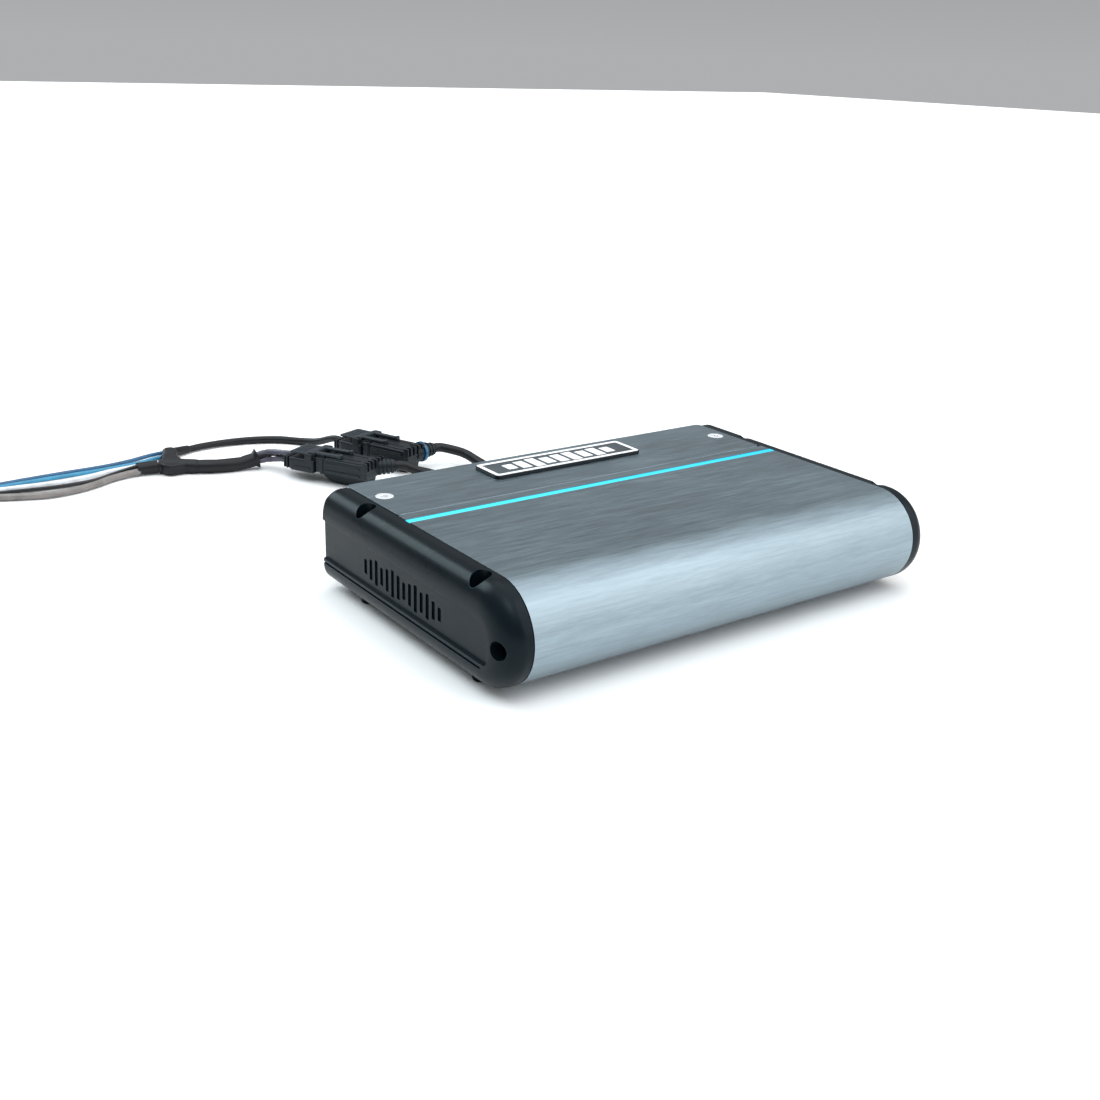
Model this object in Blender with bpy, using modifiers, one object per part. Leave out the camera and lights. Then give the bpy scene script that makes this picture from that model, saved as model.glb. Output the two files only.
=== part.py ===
"""Compact sealed car amplifier: an extruded aluminium case with a bullnose front, two moulded end
caps, a light strip, a screwed cover over the controls, and a rear harness with two sealed
connectors. +X runs along the case, the bullnose looks along -Y, and +Z is up. The origin is the
middle of the case's footprint, on the surface that the feet stand on.
"""
import math

import bmesh
import bpy
from mathutils import Matrix, Vector

MM = 0.001              # every size below is in millimetres
GAP = 0.3               # clearance between pieces that touch

# Case
HALF_LENGTH = 126.0     # half of the aluminium extrusion
CAP_THICK = 14.4        # an end cap's reach beyond the extrusion
CAP_FILLET = 10.8       # radius round a cap's outer edge
FOOT_HEIGHT = 4.0
CASE_HEIGHT = 52.0
BOTTOM = FOOT_HEIGHT
TOP = BOTTOM + CASE_HEIGHT
MIDDLE = (BOTTOM + TOP) / 2
FRONT = -88.45
REAR = 88.45
NOSE_R = CASE_HEIGHT / 2
NOSE_Y = FRONT + NOSE_R
REAR_CORNER = 5.0
WALL = 3.0
NOSE_STEPS = 14
CORNER_STEPS = 3

# Mounting bores and feet
BORE_X = 132.7
BORE_Y = (-54.8, 52.1)
BORE_R = 5.2
BORE_FLOOR = 12.0
BOLT_R = 2.7
FOOT_X = 128.5          # a foot sits beside each bore, nearer the extrusion
FOOT_Y = (-49.2, 58.8)
FOOT_R = 3.8
FOOT_EDGE = 0.6         # chamfer round a foot's tread
SPIGOT_R = 2.4
SPIGOT_TOP = 8.0

# End cap recess and screw
RECESS_DEPTH = 1.8
RECESS_LOW = 18.0
RECESS_HIGH = 39.5
RECESS_FRONT = -71.5
SCREW_Y, SCREW_Z = -79.0, 29.0
SCREW_BORE_R = 4.6
SCREW_HEAD_X = 130.3
SCREW_HEAD_R = 4.0
SCREW_HEAD_T = 3.0
SCREW_SHANK_R = 1.8

# Light strip
STRIP_Y = 22.0
STRIP_W = 4.2
STRIP_FLOOR = 48.0
LED_BOARD_T = 1.4
LED_BOARD_W = 2.8
CHANNEL_WALL = 2.1      # the aluminium left on each side of the strip

# Access cover, its ledge and the well below it
SEAM_Y = 32.0
COVER_T = 2.7
LEDGE_TOP = 52.0
WINDOW = (107.0, 41.0, 79.0)    # half length, front and rear of the opening in the ledge
COVER_SCREW = (116.5, 62.0)
BADGE = (50.6, 55.0, 78.5)      # half length, front and rear
BADGE_T = 1.7
WELL_WALL = 1.5
WELL_FLOOR = 40.0
WELL_PLAY = 0.5         # the well's clearance in its opening
WELL_FLANGE = (4.0, 3.5, 1.2)   # reach along X, reach along Y, thickness
CONTROL_BOARD = ((-100.0, 46.0, 33.3), (100.0, 76.0, 34.9))
CONTROL_Y = 60.0
KNOBS = {"gain_knob": -62.0, "crossover_knob": -20.0, "bass_knob": 22.0}
KNOB_R = 7.0
KNOB_LOW, KNOB_HIGH = 42.0, 48.5
SHAFT_R = 2.8
SHAFT_LOW = 35.2
SWITCHES = {"input_switch": 62.0, "filter_switch": 86.0}
SWITCH_SIZE = 3.0
SWITCH_TRAVEL = 3.0
SWITCH_TOP = 46.0

# Underside
LIP_FRONT_Y = -44.0
LIP_REAR_Y = 79.0
BASE_SCREW = (95.0, -50.0, 83.0)
BASE_SCREW_R, BASE_HEAD_R = 1.5, 3.0
BASE_T = 1.5
BASE_HALF = 122.0
PILLAR_X, PILLAR_Y, PILLAR_R = (-100.0, 100.0), (-30.0, 65.0), 3.0
BOARD_LOW, BOARD_T = 14.0, 1.6

# Inside: places on the main board, and the row of transistors clamped to the front rib
BOARD_EDGES = ((-108.0, -36.0), (108.0, 74.0))
TRANSFORMER_X = {"power_transformer_left": -62.0, "power_transformer_right": -24.0}
CORE_BORE, CORE_R, CORE_H, CORE_EDGE = 6.0, 15.0, 13.0, 2.0
CAPACITOR_X = {"filter_capacitor_left": 16.0, "filter_capacitor_right": 38.0}
CAPACITOR_R, CAPACITOR_H = 8.0, 27.0
INDUCTOR_X, INDUCTOR_R, INDUCTOR_H = 72.0, 11.0, 14.0
RIB_FRONT, RIB_REAR, RIB_LOW = -50.0, -46.0, 34.0
TRANSISTOR_X = (-70.0, 0.0, 70.0)
TRANSISTOR_HALF, TRANSISTOR_T, TRANSISTOR_Z = 8.0, 5.0, (30.0, 50.0)
TRANSISTOR_LEADS = (-5.4, 0.0, 5.4)
CLAMP_HALF, CLAMP_T, CLAMP_Z = 84.0, 3.0, (38.0, 45.0)

# Harness: connectors lie on the floor behind the case. Each has the middle of its amplifier end,
# its turn about Z in degrees, and the direction in which its cable leaves, in degrees from +X.
CONNECTORS = {"front": ((-33.2, 225.2), 28.7, -21.0), "back": ((7.8, 240.0), 21.7, 10.0)}
HEADER_W, HEADER_LEN = 22.0, 40.0
SHELL_LOW, SHELL_HIGH = 7.5, 17.5
PLUG_W, PLUG_END, COLLAR_END = 26.0, 60.0, 66.0
CABLE_Z = 12.5
GLANDS = {"front": 24.0, "back": 56.0}
GLAND_Z = 20.0
GLAND_HOLE_R = 6.3
GLAND_END = REAR + 22.0
PIGTAIL_D, UPPER_LOOM_D, LOWER_LOOM_D = 6.5, 5.0, 9.0
COIL_CENTRE = (-328.0, 290.0)
COIL_RADII = (38.0, 57.0)
COIL_HEIGHT = 9.6
BOOT_OUTLINE = (
    (-140.5, 313.5), (-144.2, 318.5), (-144.2, 327.5), (-139.5, 334.0), (-133.5, 346.0), (-129.2, 356.5),
    (-126.0, 360.0), (-123.8, 358.5), (-123.6, 350.0), (-125.5, 337.0), (-128.6, 330.0), (-129.4, 314.0),
)
BOOT_HEIGHT, BOOT_EDGE = 9.6, 1.6

COLOURS = {
    "brushed_aluminium": ((0.30, 0.35, 0.38), 0.32, 1.0),
    "cap_plastic": ((0.045, 0.055, 0.065), 0.42, 0.0),
    "rubber": ((0.012, 0.012, 0.013), 0.75, 0.0),
    "zinc_steel": ((0.62, 0.63, 0.65), 0.28, 1.0),
    "light_pipe": ((0.05, 0.75, 0.95), 0.3, 0.0),
    "badge_metal": ((0.10, 0.11, 0.12), 0.3, 0.6),
    "black_plastic": ((0.02, 0.021, 0.024), 0.5, 0.0),
    "circuit_board": ((0.02, 0.12, 0.06), 0.45, 0.0),
    "ferrite": ((0.30, 0.13, 0.05), 0.4, 0.2),
    "capacitor_sleeve": ((0.02, 0.03, 0.08), 0.35, 0.0),
    "cable_sheath": ((0.016, 0.018, 0.021), 0.6, 0.0),
    "blue_wire": ((0.02, 0.22, 0.42), 0.4, 0.0),
    "white_wire": ((0.80, 0.82, 0.84), 0.4, 0.0),
    "grey_wire": ((0.30, 0.28, 0.27), 0.45, 0.0),
}

for old in list(bpy.data.objects):
    bpy.data.objects.remove(old, do_unlink=True)

parts = bpy.data.collections.new("car_amplifier")
cutters = bpy.data.collections.new("cutters")
for group in (parts, cutters):
    bpy.context.scene.collection.children.link(group)


def make_material(name, colour, roughness, metallic):
    material = bpy.data.materials.new(name)
    material.use_nodes = True
    shader = material.node_tree.nodes["Principled BSDF"]
    shader.inputs["Base Color"].default_value = (*colour, 1.0)
    shader.inputs["Roughness"].default_value = roughness
    shader.inputs["Metallic"].default_value = metallic
    return material


MATERIALS = {name: make_material(name, *values) for name, values in COLOURS.items()}


# ---------------------------------------------------------------- modelling helpers
def mm(*values):
    return Vector(values) * MM


def new_object(name, mesh, material=None, group=parts):
    obj = bpy.data.objects.new(name, mesh)
    group.objects.link(obj)
    if material:
        mesh.materials.append(MATERIALS[material])
    return obj


def from_bmesh(name, shape, material=None, group=parts):
    bmesh.ops.recalc_face_normals(shape, faces=shape.faces)
    mesh = bpy.data.meshes.new(name)
    shape.to_mesh(mesh)
    shape.free()
    return new_object(name, mesh, material, group)


def smooth(obj, angle=35):
    obj.data.shade_smooth()
    obj.data.set_sharp_from_angle(angle=math.radians(angle))
    return obj


def box(name, low, high, material=None, group=parts, round_edges=0.0):
    low, high = mm(*low), mm(*high)
    shape = bmesh.new()
    place = Matrix.Translation((low + high) / 2) @ Matrix.Diagonal((*(high - low), 1.0))
    bmesh.ops.create_cube(shape, size=1.0, matrix=place)
    obj = from_bmesh(name, shape, material, group)
    if round_edges:
        add_bevel(obj, round_edges)
    return obj


def add_bevel(obj, width, segments=1, angle=40):
    bevel = obj.modifiers.new("edges", "BEVEL")
    bevel.width = width * MM
    bevel.segments = segments
    bevel.limit_method = "ANGLE"
    bevel.angle_limit = math.radians(angle)
    return bevel


def rod(name, start, end, radius, material=None, group=parts, sides=16, end_radius=None):
    """A cylinder or cone from start to end."""
    start, end = mm(*start), mm(*end)
    along = end - start
    place = Matrix.Translation((start + end) / 2) @ along.to_track_quat("Z", "Y").to_matrix().to_4x4()
    shape = bmesh.new()
    bmesh.ops.create_cone(
        shape, cap_ends=True, segments=sides, radius1=radius * MM,
        radius2=(radius if end_radius is None else end_radius) * MM, depth=along.length, matrix=place,
    )
    return from_bmesh(name, shape, material, group)


def turned(name, profile, centre, material=None, axis="Z", steps=20, group=parts):
    """A closed ring or solid: (radius, height) points turned about an axis through centre."""
    shape = bmesh.new()
    turn = {
        "Z": Matrix.Identity(4),
        "Y": Matrix.Rotation(math.radians(-90), 4, "X"),
        "X": Matrix.Rotation(math.radians(90), 4, "Y"),
    }[axis]
    verts = [shape.verts.new(mm(r, 0, h)) for r, h in profile]
    edges = [shape.edges.new((a, b)) for a, b in zip(verts, verts[1:] + verts[:1], strict=True)]
    bmesh.ops.spin(shape, geom=verts + edges, cent=(0, 0, 0), axis=(0, 0, 1),
                   angle=math.tau, steps=steps, use_merge=True)
    bmesh.ops.remove_doubles(shape, verts=shape.verts, dist=0.00001)
    bmesh.ops.transform(shape, matrix=Matrix.Translation(mm(*centre)) @ turn, verts=shape.verts)
    return from_bmesh(name, shape, material, group)


def mesh_of_curve(name, curve_object, material=None, group=parts, flat=False):
    """The curve as a welded mesh object, its flat ends as single faces; the curve itself is removed."""
    bpy.context.view_layer.update()
    depsgraph = bpy.context.evaluated_depsgraph_get()
    mesh = bpy.data.meshes.new_from_object(curve_object.evaluated_get(depsgraph))
    mesh.transform(curve_object.matrix_world)
    shape = bmesh.new()
    shape.from_mesh(mesh)
    bmesh.ops.remove_doubles(shape, verts=shape.verts, dist=0.00001)
    if flat:
        bmesh.ops.dissolve_limit(shape, angle_limit=0.001, verts=shape.verts, edges=shape.edges)
    bpy.data.objects.remove(curve_object, do_unlink=True)
    return from_bmesh(name, shape, material, group)


def plate(name, outline, low, high, plane="XY", material=None, group=parts):
    """A flat outline in a plane, with its thickness from low to high along the third axis."""
    curve = bpy.data.curves.new(name, "CURVE")
    curve.dimensions = "2D"
    curve.fill_mode = "BOTH"
    curve.extrude = (high - low) / 2 * MM
    spline = curve.splines.new("POLY")
    spline.points.add(len(outline) - 1)
    for point, (u, v) in zip(spline.points, outline, strict=True):
        point.co = (u * MM, v * MM, 0.0, 1.0)
    spline.use_cyclic_u = True
    obj = bpy.data.objects.new(name, curve)
    group.objects.link(obj)
    lift = Matrix.Translation((0, 0, (low + high) / 2 * MM))
    onto_yz = Matrix(((0, 0, 1, 0), (1, 0, 0, 0), (0, 1, 0, 0), (0, 0, 0, 1)))
    obj.matrix_world = (onto_yz if plane == "YZ" else Matrix.Identity(4)) @ lift
    return mesh_of_curve(name, obj, material, group, flat=True)


def tube(name, route, diameter, material, resolution=2):
    """A cord: a smooth curve through its route's points, as a closed tube."""
    curve = bpy.data.curves.new(name, "CURVE")
    curve.dimensions = "3D"
    curve.bevel_depth = diameter / 2 * MM
    curve.bevel_resolution = resolution
    curve.use_fill_caps = True
    points = smooth_route(route, 2.2 * diameter)
    spline = curve.splines.new("POLY")
    spline.points.add(len(points) - 1)
    for point, place in zip(spline.points, points, strict=True):
        point.co = (*(place * MM), 1.0)
    obj = bpy.data.objects.new(name, curve)
    parts.objects.link(obj)
    return smooth(mesh_of_curve(name, obj, material), 60)


def smooth_route(route, spacing):
    """Points about spacing apart on a Catmull-Rom curve through the route."""
    points = [Vector(p) for p in route]
    ends = [2 * points[0] - points[1], *points, 2 * points[-1] - points[-2]]
    fine = [points[0]]
    for a, b, c, d in zip(ends, ends[1:], ends[2:], ends[3:], strict=False):
        for k in range(1, 13):
            t = k / 12
            fine.append(0.5 * (2 * b + (c - a) * t + (2 * a - 5 * b + 4 * c - d) * t**2
                               + (3 * b - a - 3 * c + d) * t**3))
    lengths = [0.0]
    for p, q in zip(fine, fine[1:], strict=False):
        lengths.append(lengths[-1] + (q - p).length)
    lead = spacing / 4      # a short first and last stretch keeps each end square to the route
    long = lengths[-1] - 2 * lead
    count = max(2, round(long / spacing))
    targets = [0.0, *(lead + long * step / count for step in range(count + 1)), lengths[-1]]
    even, k = [], 0
    for target in targets:
        while k < len(lengths) - 2 and lengths[k + 1] < target:
            k += 1
        share = (target - lengths[k]) / (lengths[k + 1] - lengths[k])
        even.append(fine[k].lerp(fine[k + 1], share))
    return even


def combine(obj, other, operation):
    """Cut obj by another object, or join that one to it."""
    for old in list(other.users_collection):
        old.objects.unlink(other)
    cutters.objects.link(other)
    other.hide_render = True
    other.display_type = "WIRE"
    step = obj.modifiers.new(operation.lower(), "BOOLEAN")
    step.operation = operation
    step.object = other
    return obj


def cut(obj, *tools):
    for tool in tools:
        combine(obj, tool, "DIFFERENCE")
    return obj


def join(obj, *others):
    for other in others:
        combine(obj, other, "UNION")
    return obj


def arc(centre, radius, start, end, steps):
    """Points on an arc, angles in degrees."""
    angles = [math.radians(start + (end - start) * k / steps) for k in range(steps + 1)]
    return [(centre[0] + radius * math.cos(a), centre[1] + radius * math.sin(a)) for a in angles]


def rounded_rectangle(half_x, low_y, high_y, radius, steps=3):
    corners = [
        ((half_x - radius, high_y - radius), 0),
        ((-half_x + radius, high_y - radius), 90),
        ((-half_x + radius, low_y + radius), 180),
        ((half_x - radius, low_y + radius), 270),
    ]
    return [p for centre, start in corners for p in arc(centre, radius, start, start + 90, steps)]


def case_outline(inset=0.0, rear_inset=0.0):
    """The case's section as (y, z) points, from the rear top corner over the bullnose and back."""
    corner = max(REAR_CORNER - inset, 1.2)
    rear, top, bottom = REAR - rear_inset, TOP - inset, BOTTOM + inset
    return [
        *arc((rear - corner, top - corner), corner, 0, 90, CORNER_STEPS),
        *arc((NOSE_Y, MIDDLE), NOSE_R - inset, 90, 270, NOSE_STEPS),
        *arc((rear - corner, bottom + corner), corner, 270, 360, CORNER_STEPS),
    ]


# ---------------------------------------------------------------- case
def heat_sink_shell():
    """The extrusion: top, bullnose, rear wall and the two lips that the base plate rests on."""
    ledge_low = LEDGE_TOP - WALL
    section = [
        (SEAM_Y, TOP), *arc((NOSE_Y, MIDDLE), NOSE_R, 90, 270, NOSE_STEPS),
        (LIP_FRONT_Y, BOTTOM), (LIP_FRONT_Y, BOTTOM + WALL),
        *arc((NOSE_Y, MIDDLE), NOSE_R - WALL, 270, 90, NOSE_STEPS), (SEAM_Y - WALL, TOP - WALL),
        (SEAM_Y - WALL, ledge_low), (REAR - WALL, ledge_low), (REAR - WALL, BOTTOM + WALL),
        (LIP_REAR_Y, BOTTOM + WALL), (LIP_REAR_Y, BOTTOM),
        *arc((REAR - REAR_CORNER, BOTTOM + REAR_CORNER), REAR_CORNER, 270, 360, CORNER_STEPS),
        (REAR, LEDGE_TOP), (SEAM_Y, LEDGE_TOP),
    ]
    half = HALF_LENGTH - GAP / 2
    shell = plate("heat_sink_shell", section, -half, half, "YZ", "brushed_aluminium")
    inner = half - 1.0
    groove = STRIP_W / 2 + GAP
    channel = groove + CHANNEL_WALL
    top = TOP - WALL + 1
    join(shell, box("transistor_rib", (-inner, RIB_FRONT, RIB_LOW), (inner, RIB_REAR, top)),
         box("strip_channel", (-inner, STRIP_Y - channel, STRIP_FLOOR - 2), (inner, STRIP_Y + channel, top)))
    cut(shell, box("strip_groove", (-200, STRIP_Y - groove, STRIP_FLOOR), (200, STRIP_Y + groove, 80)))
    long, front, rear = WINDOW
    cut(shell, box("window", (-long, front, 40), (long, rear, 60)))
    for name, x in (("left", -1), ("right", 1)):
        web = box("screw_web_" + name, (x * 105, -86.9, 26.5), (x * inner, SCREW_Y, 31.5))
        boss = rod("screw_boss_" + name, (x * 104, SCREW_Y, SCREW_Z),
                   (x * (inner + 0.5), SCREW_Y, SCREW_Z), 4.5)
        join(shell, web, boss)
        cut(shell, rod("boss_hole_" + name, (x * 112, SCREW_Y, SCREW_Z), (x * 130, SCREW_Y, SCREW_Z),
                       SCREW_SHANK_R + GAP, sides=12))
        cover_x, cover_y = COVER_SCREW
        cut(shell, rod("cover_hole_" + name, (x * cover_x, cover_y, 40), (x * cover_x, cover_y, 60), 2.2,
                       sides=12))
        for y in BASE_SCREW[1:]:
            base_x = x * BASE_SCREW[0]
            cut(shell, rod(f"lip_hole_{name}_{y:.0f}", (base_x, y, 0), (base_x, y, 10), 1.9, sides=12),
                rod(f"lip_sink_{name}_{y:.0f}", (base_x, y, 3.0), (base_x, y, 5.6), 3.3, sides=16))
    for x in GLANDS.values():
        cut(shell, rod(f"cable_hole_{x:.0f}", (x, 80, GLAND_Z), (x, 100, GLAND_Z), GLAND_HOLE_R))
    smooth(shell)
    return shell


def end_cap(side, name):
    """A moulded cap: the case's section lofted outwards round a large edge radius."""
    shape = bmesh.new()
    rings = []
    levels = [(GAP / 2, 0.0)]
    steps = 6
    for k in range(steps + 1):
        turn = math.radians(90 * k / steps)
        levels.append((CAP_THICK - CAP_FILLET * (1 - math.sin(turn)), CAP_FILLET * (1 - math.cos(turn))))
    for reach, inset in levels:
        x = side * (HALF_LENGTH + reach)
        outline = case_outline(inset, min(inset, 10.0) * 0.22)
        rings.append([shape.verts.new(mm(x, y, z)) for y, z in outline])
    for one, other in zip(rings, rings[1:], strict=False):
        for k in range(len(one)):
            j = (k + 1) % len(one)
            shape.faces.new((one[k], one[j], other[j], other[k]))
    shape.faces.new(rings[0])
    shape.faces.new(rings[-1])
    cap = from_bmesh(name, shape, "cap_plastic")
    outer, floor = side * (HALF_LENGTH + CAP_THICK), side * (HALF_LENGTH + CAP_THICK - RECESS_DEPTH)
    radius = (RECESS_HIGH - RECESS_LOW) / 2
    recess = [
        *arc((RECESS_FRONT + radius, RECESS_LOW + radius), radius, 90, 270, 8),
        (REAR + 5, RECESS_LOW), (REAR + 5, RECESS_HIGH),
    ]
    low, high = sorted((floor, outer + side * 5))
    cut(cap, plate(name + "_recess", recess, low, high, "YZ"))
    for y in BORE_Y:
        x = side * BORE_X
        cut(cap, rod(f"{name}_bore_{y:.0f}", (x, y, BORE_FLOOR), (x, y, 80), BORE_R, sides=20),
            rod(f"{name}_bolt_{y:.0f}", (x, y, 0), (x, y, 20), BOLT_R, sides=12))
    for y in FOOT_Y:
        x = side * FOOT_X
        cut(cap, rod(f"{name}_spigot_{y:.0f}", (x, y, 0), (x, y, SPIGOT_TOP + GAP), SPIGOT_R + GAP, sides=16))
    cut(cap, rod(name + "_screw_bore", (side * (SCREW_HEAD_X - GAP), SCREW_Y, SCREW_Z),
                 (outer + side * 5, SCREW_Y, SCREW_Z), SCREW_BORE_R, sides=20),
        rod(name + "_screw_hole", (side * 120, SCREW_Y, SCREW_Z), (side * 135, SCREW_Y, SCREW_Z),
            SCREW_SHANK_R + GAP, sides=12))
    smooth(cap)
    return cap


def cap_screw(side, name):
    head = rod(name, (side * SCREW_HEAD_X, SCREW_Y, SCREW_Z),
               (side * (SCREW_HEAD_X + SCREW_HEAD_T), SCREW_Y, SCREW_Z), SCREW_HEAD_R, "zinc_steel", sides=20)
    join(head, rod(name + "_shank", (side * (SCREW_HEAD_X + 1), SCREW_Y, SCREW_Z),
                   (side * 114, SCREW_Y, SCREW_Z), SCREW_SHANK_R, sides=12))
    cut(head, rod(name + "_socket", (side * (SCREW_HEAD_X + 1.4), SCREW_Y, SCREW_Z),
                  (side * 140, SCREW_Y, SCREW_Z), 2.0, sides=6))
    return smooth(head)


def foot(name, x, y):
    """A solid rubber foot whose spigot is pressed into the cap."""
    pad = rod(name, (x, y, FOOT_EDGE), (x, y, BOTTOM - GAP), FOOT_R, "rubber", sides=20)
    tread = rod(name + "_tread", (x, y, 0), (x, y, FOOT_EDGE + 0.1), FOOT_R - FOOT_EDGE, sides=20,
                end_radius=FOOT_R)
    join(pad, tread, rod(name + "_spigot", (x, y, 1), (x, y, SPIGOT_TOP), SPIGOT_R, sides=16))
    return smooth(pad)


def light_strip():
    half = HALF_LENGTH - GAP
    low = STRIP_FLOOR + GAP + LED_BOARD_T + GAP
    box("led_light_pipe", (-half, STRIP_Y - STRIP_W / 2, low), (half, STRIP_Y + STRIP_W / 2, TOP),
        "light_pipe")
    box("led_board", (-half + 4, STRIP_Y - LED_BOARD_W / 2, STRIP_FLOOR + GAP),
        (half - 4, STRIP_Y + LED_BOARD_W / 2, STRIP_FLOOR + GAP + LED_BOARD_T), "circuit_board")


# ---------------------------------------------------------------- cover and controls
def access_cover():
    half = HALF_LENGTH - 2 * GAP
    outline = rounded_rectangle(half, SEAM_Y + GAP, REAR - GAP, 3.0)
    cover = plate("access_cover", outline, TOP - COVER_T, TOP, "XY", "brushed_aluminium")
    for name, x in (("left", -COVER_SCREW[0]), ("right", COVER_SCREW[0])):
        y = COVER_SCREW[1]
        cut(cover, rod("sink_" + name, (x, y, TOP - 2.2), (x, y, TOP + 1), 5.2, sides=24),
            rod("clear_" + name, (x, y, 50), (x, y, 60), 2.2, sides=12))
    smooth(cover)
    outer = rounded_rectangle(112, 36, 84, 3.0)
    gasket = plate("cover_gasket", outer, LEDGE_TOP + GAP, TOP - COVER_T - GAP, "XY", "rubber")
    inner = rounded_rectangle(109, 39, 81, 1.5)
    cut(gasket, plate("gasket_inside", inner, 45, 60))
    badge = plate("badge_plate", rounded_rectangle(*BADGE, 2.5), TOP + GAP, TOP + GAP + BADGE_T, "XY",
                  "badge_metal")
    smooth(badge)


def cover_screw(name, x):
    y = COVER_SCREW[1]
    head = rod(name, (x, y, TOP - 1.9), (x, y, TOP), 4.8, "zinc_steel", sides=24)
    join(head, rod(name + "_shank", (x, y, TOP - 1), (x, y, 44), 1.8, sides=12))
    cut(head, rod(name + "_socket", (x, y, TOP - 1.2), (x, y, TOP + 2), 2.0, sides=6))
    head = smooth(head)
    set_origin(head, (x, y, TOP))
    return head


def set_origin(obj, place):
    """Move the object's origin, and leave its shape where it is."""
    place = mm(*place)
    obj.data.transform(Matrix.Translation(-place))
    obj.location = place


def control_well():
    long, front, rear = WINDOW
    wall = WELL_PLAY + WELL_WALL
    reach_x, reach_y, thick = WELL_FLANGE
    flange_high = LEDGE_TOP - WALL - GAP
    well = box("control_well", (-long - reach_x, front - reach_y, flange_high - thick),
               (long + reach_x, rear + reach_y, flange_high), "black_plastic")
    join(well, box("well_wall", (-long + WELL_PLAY, front + WELL_PLAY, WELL_FLOOR),
                   (long - WELL_PLAY, rear - WELL_PLAY, LEDGE_TOP - GAP)))
    cut(well, box("well_inside", (-long + wall, front + wall, WELL_FLOOR + WELL_WALL),
                  (long - wall, rear - wall, 60)))
    for name, x in KNOBS.items():
        cut(well, rod(name + "_hole", (x, CONTROL_Y, 30), (x, CONTROL_Y, 50), SHAFT_R + GAP, sides=16))
    for name, x in SWITCHES.items():
        reach = SWITCH_SIZE / 2 + SWITCH_TRAVEL + GAP
        side = SWITCH_SIZE / 2 + GAP
        cut(well, box(name + "_slot", (x - reach, CONTROL_Y - side, 30), (x + reach, CONTROL_Y + side, 50)))
    box("control_board", *CONTROL_BOARD, "circuit_board")


def knob(name, x):
    """A rotary control with a pointer slot, on its own shaft."""
    body = rod(name, (x, CONTROL_Y, KNOB_LOW), (x, CONTROL_Y, KNOB_HIGH), KNOB_R, "black_plastic", sides=24,
               end_radius=KNOB_R - 0.8)
    join(body, rod(name + "_shaft", (x, CONTROL_Y, SHAFT_LOW), (x, CONTROL_Y, KNOB_LOW + 1), SHAFT_R))
    cut(body, box(name + "_slot", (x - 0.6, CONTROL_Y, KNOB_HIGH - 1.4), (x + 0.6, CONTROL_Y + 9, 60)))
    smooth(body)
    set_origin(body, (x, CONTROL_Y, KNOB_HIGH))


def slide_switch(name, x):
    half = SWITCH_SIZE / 2
    lever = box(name, (x - half, CONTROL_Y - half, SHAFT_LOW), (x + half, CONTROL_Y + half, SWITCH_TOP),
                "black_plastic", round_edges=0.4)
    set_origin(lever, (x, CONTROL_Y, SWITCH_TOP))


# ---------------------------------------------------------------- inside
def base_plate():
    low = BOTTOM + WALL + GAP
    base = box("base_plate", (-BASE_HALF, LIP_FRONT_Y - 12, low), (BASE_HALF, REAR - WALL - 1, low + BASE_T),
               "black_plastic")
    for x in PILLAR_X:
        for y in PILLAR_Y:
            join(base, rod(f"pillar_{x:.0f}_{y:.0f}", (x, y, low + 0.5), (x, y, BOARD_LOW - GAP), PILLAR_R,
                           sides=12))
    base_x, front, rear = BASE_SCREW
    for x in (-base_x, base_x):
        for y in (front, rear):
            cut(base, rod(f"base_hole_{x:.0f}_{y:.0f}", (x, y, 0), (x, y, 20), BASE_SCREW_R + 0.4, sides=12))


def base_screw(name, x, y):
    head = rod(name, (x, y, BOTTOM), (x, y, BOTTOM + 1.3), BASE_HEAD_R, "zinc_steel", sides=16)
    join(head, rod(name + "_shank", (x, y, BOTTOM + 0.6), (x, y, 11.0), BASE_SCREW_R, sides=12))
    cut(head, rod(name + "_socket", (x, y, 2), (x, y, BOTTOM + 0.9), 1.2, sides=6))
    smooth(head)


def electronics():
    board_top = BOARD_LOW + BOARD_T
    (left, front), (right, rear) = BOARD_EDGES
    box("main_board", (left, front, BOARD_LOW), (right, rear, board_top), "circuit_board")
    seat = board_top + GAP
    bore, radius, edge = CORE_BORE, CORE_R, CORE_EDGE
    ring = [
        (bore, seat + CORE_H - edge), (bore + edge, seat + CORE_H), (radius - edge, seat + CORE_H),
        (radius, seat + CORE_H - edge), (radius, seat + edge), (radius - edge, seat), (bore + edge, seat),
        (bore, seat + edge),
    ]
    for name, x in TRANSFORMER_X.items():
        smooth(turned(name, ring, (x, 0, 0), "ferrite", steps=24), 50)
    for name, x in CAPACITOR_X.items():
        can = rod(name, (x, 2, seat), (x, 2, seat + CAPACITOR_H), CAPACITOR_R, "capacitor_sleeve", sides=20)
        add_bevel(can, 0.8)
        smooth(can)
    coil = rod("output_inductor", (INDUCTOR_X, 0, seat), (INDUCTOR_X, 0, seat + INDUCTOR_H), INDUCTOR_R,
               "ferrite", sides=20)
    add_bevel(coil, 1.0)
    smooth(coil)
    back = RIB_REAR + GAP
    face = back + TRANSISTOR_T
    half, (low, high) = TRANSISTOR_HALF, TRANSISTOR_Z
    for k, x in enumerate(TRANSISTOR_X, start=1):
        body = box(f"power_transistor_{k}", (x - half, back, low), (x + half, face, high), "black_plastic")
        for j in TRANSISTOR_LEADS:
            join(body, box(f"lead_{k}_{j}", (x + j - 0.6, back + 2.1, 13),
                           (x + j + 0.6, back + 2.9, low + 1)))
    low, high = CLAMP_Z
    box("transistor_clamp", (-CLAMP_HALF, face + GAP, low), (CLAMP_HALF, face + GAP + CLAMP_T, high),
        "zinc_steel")


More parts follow.
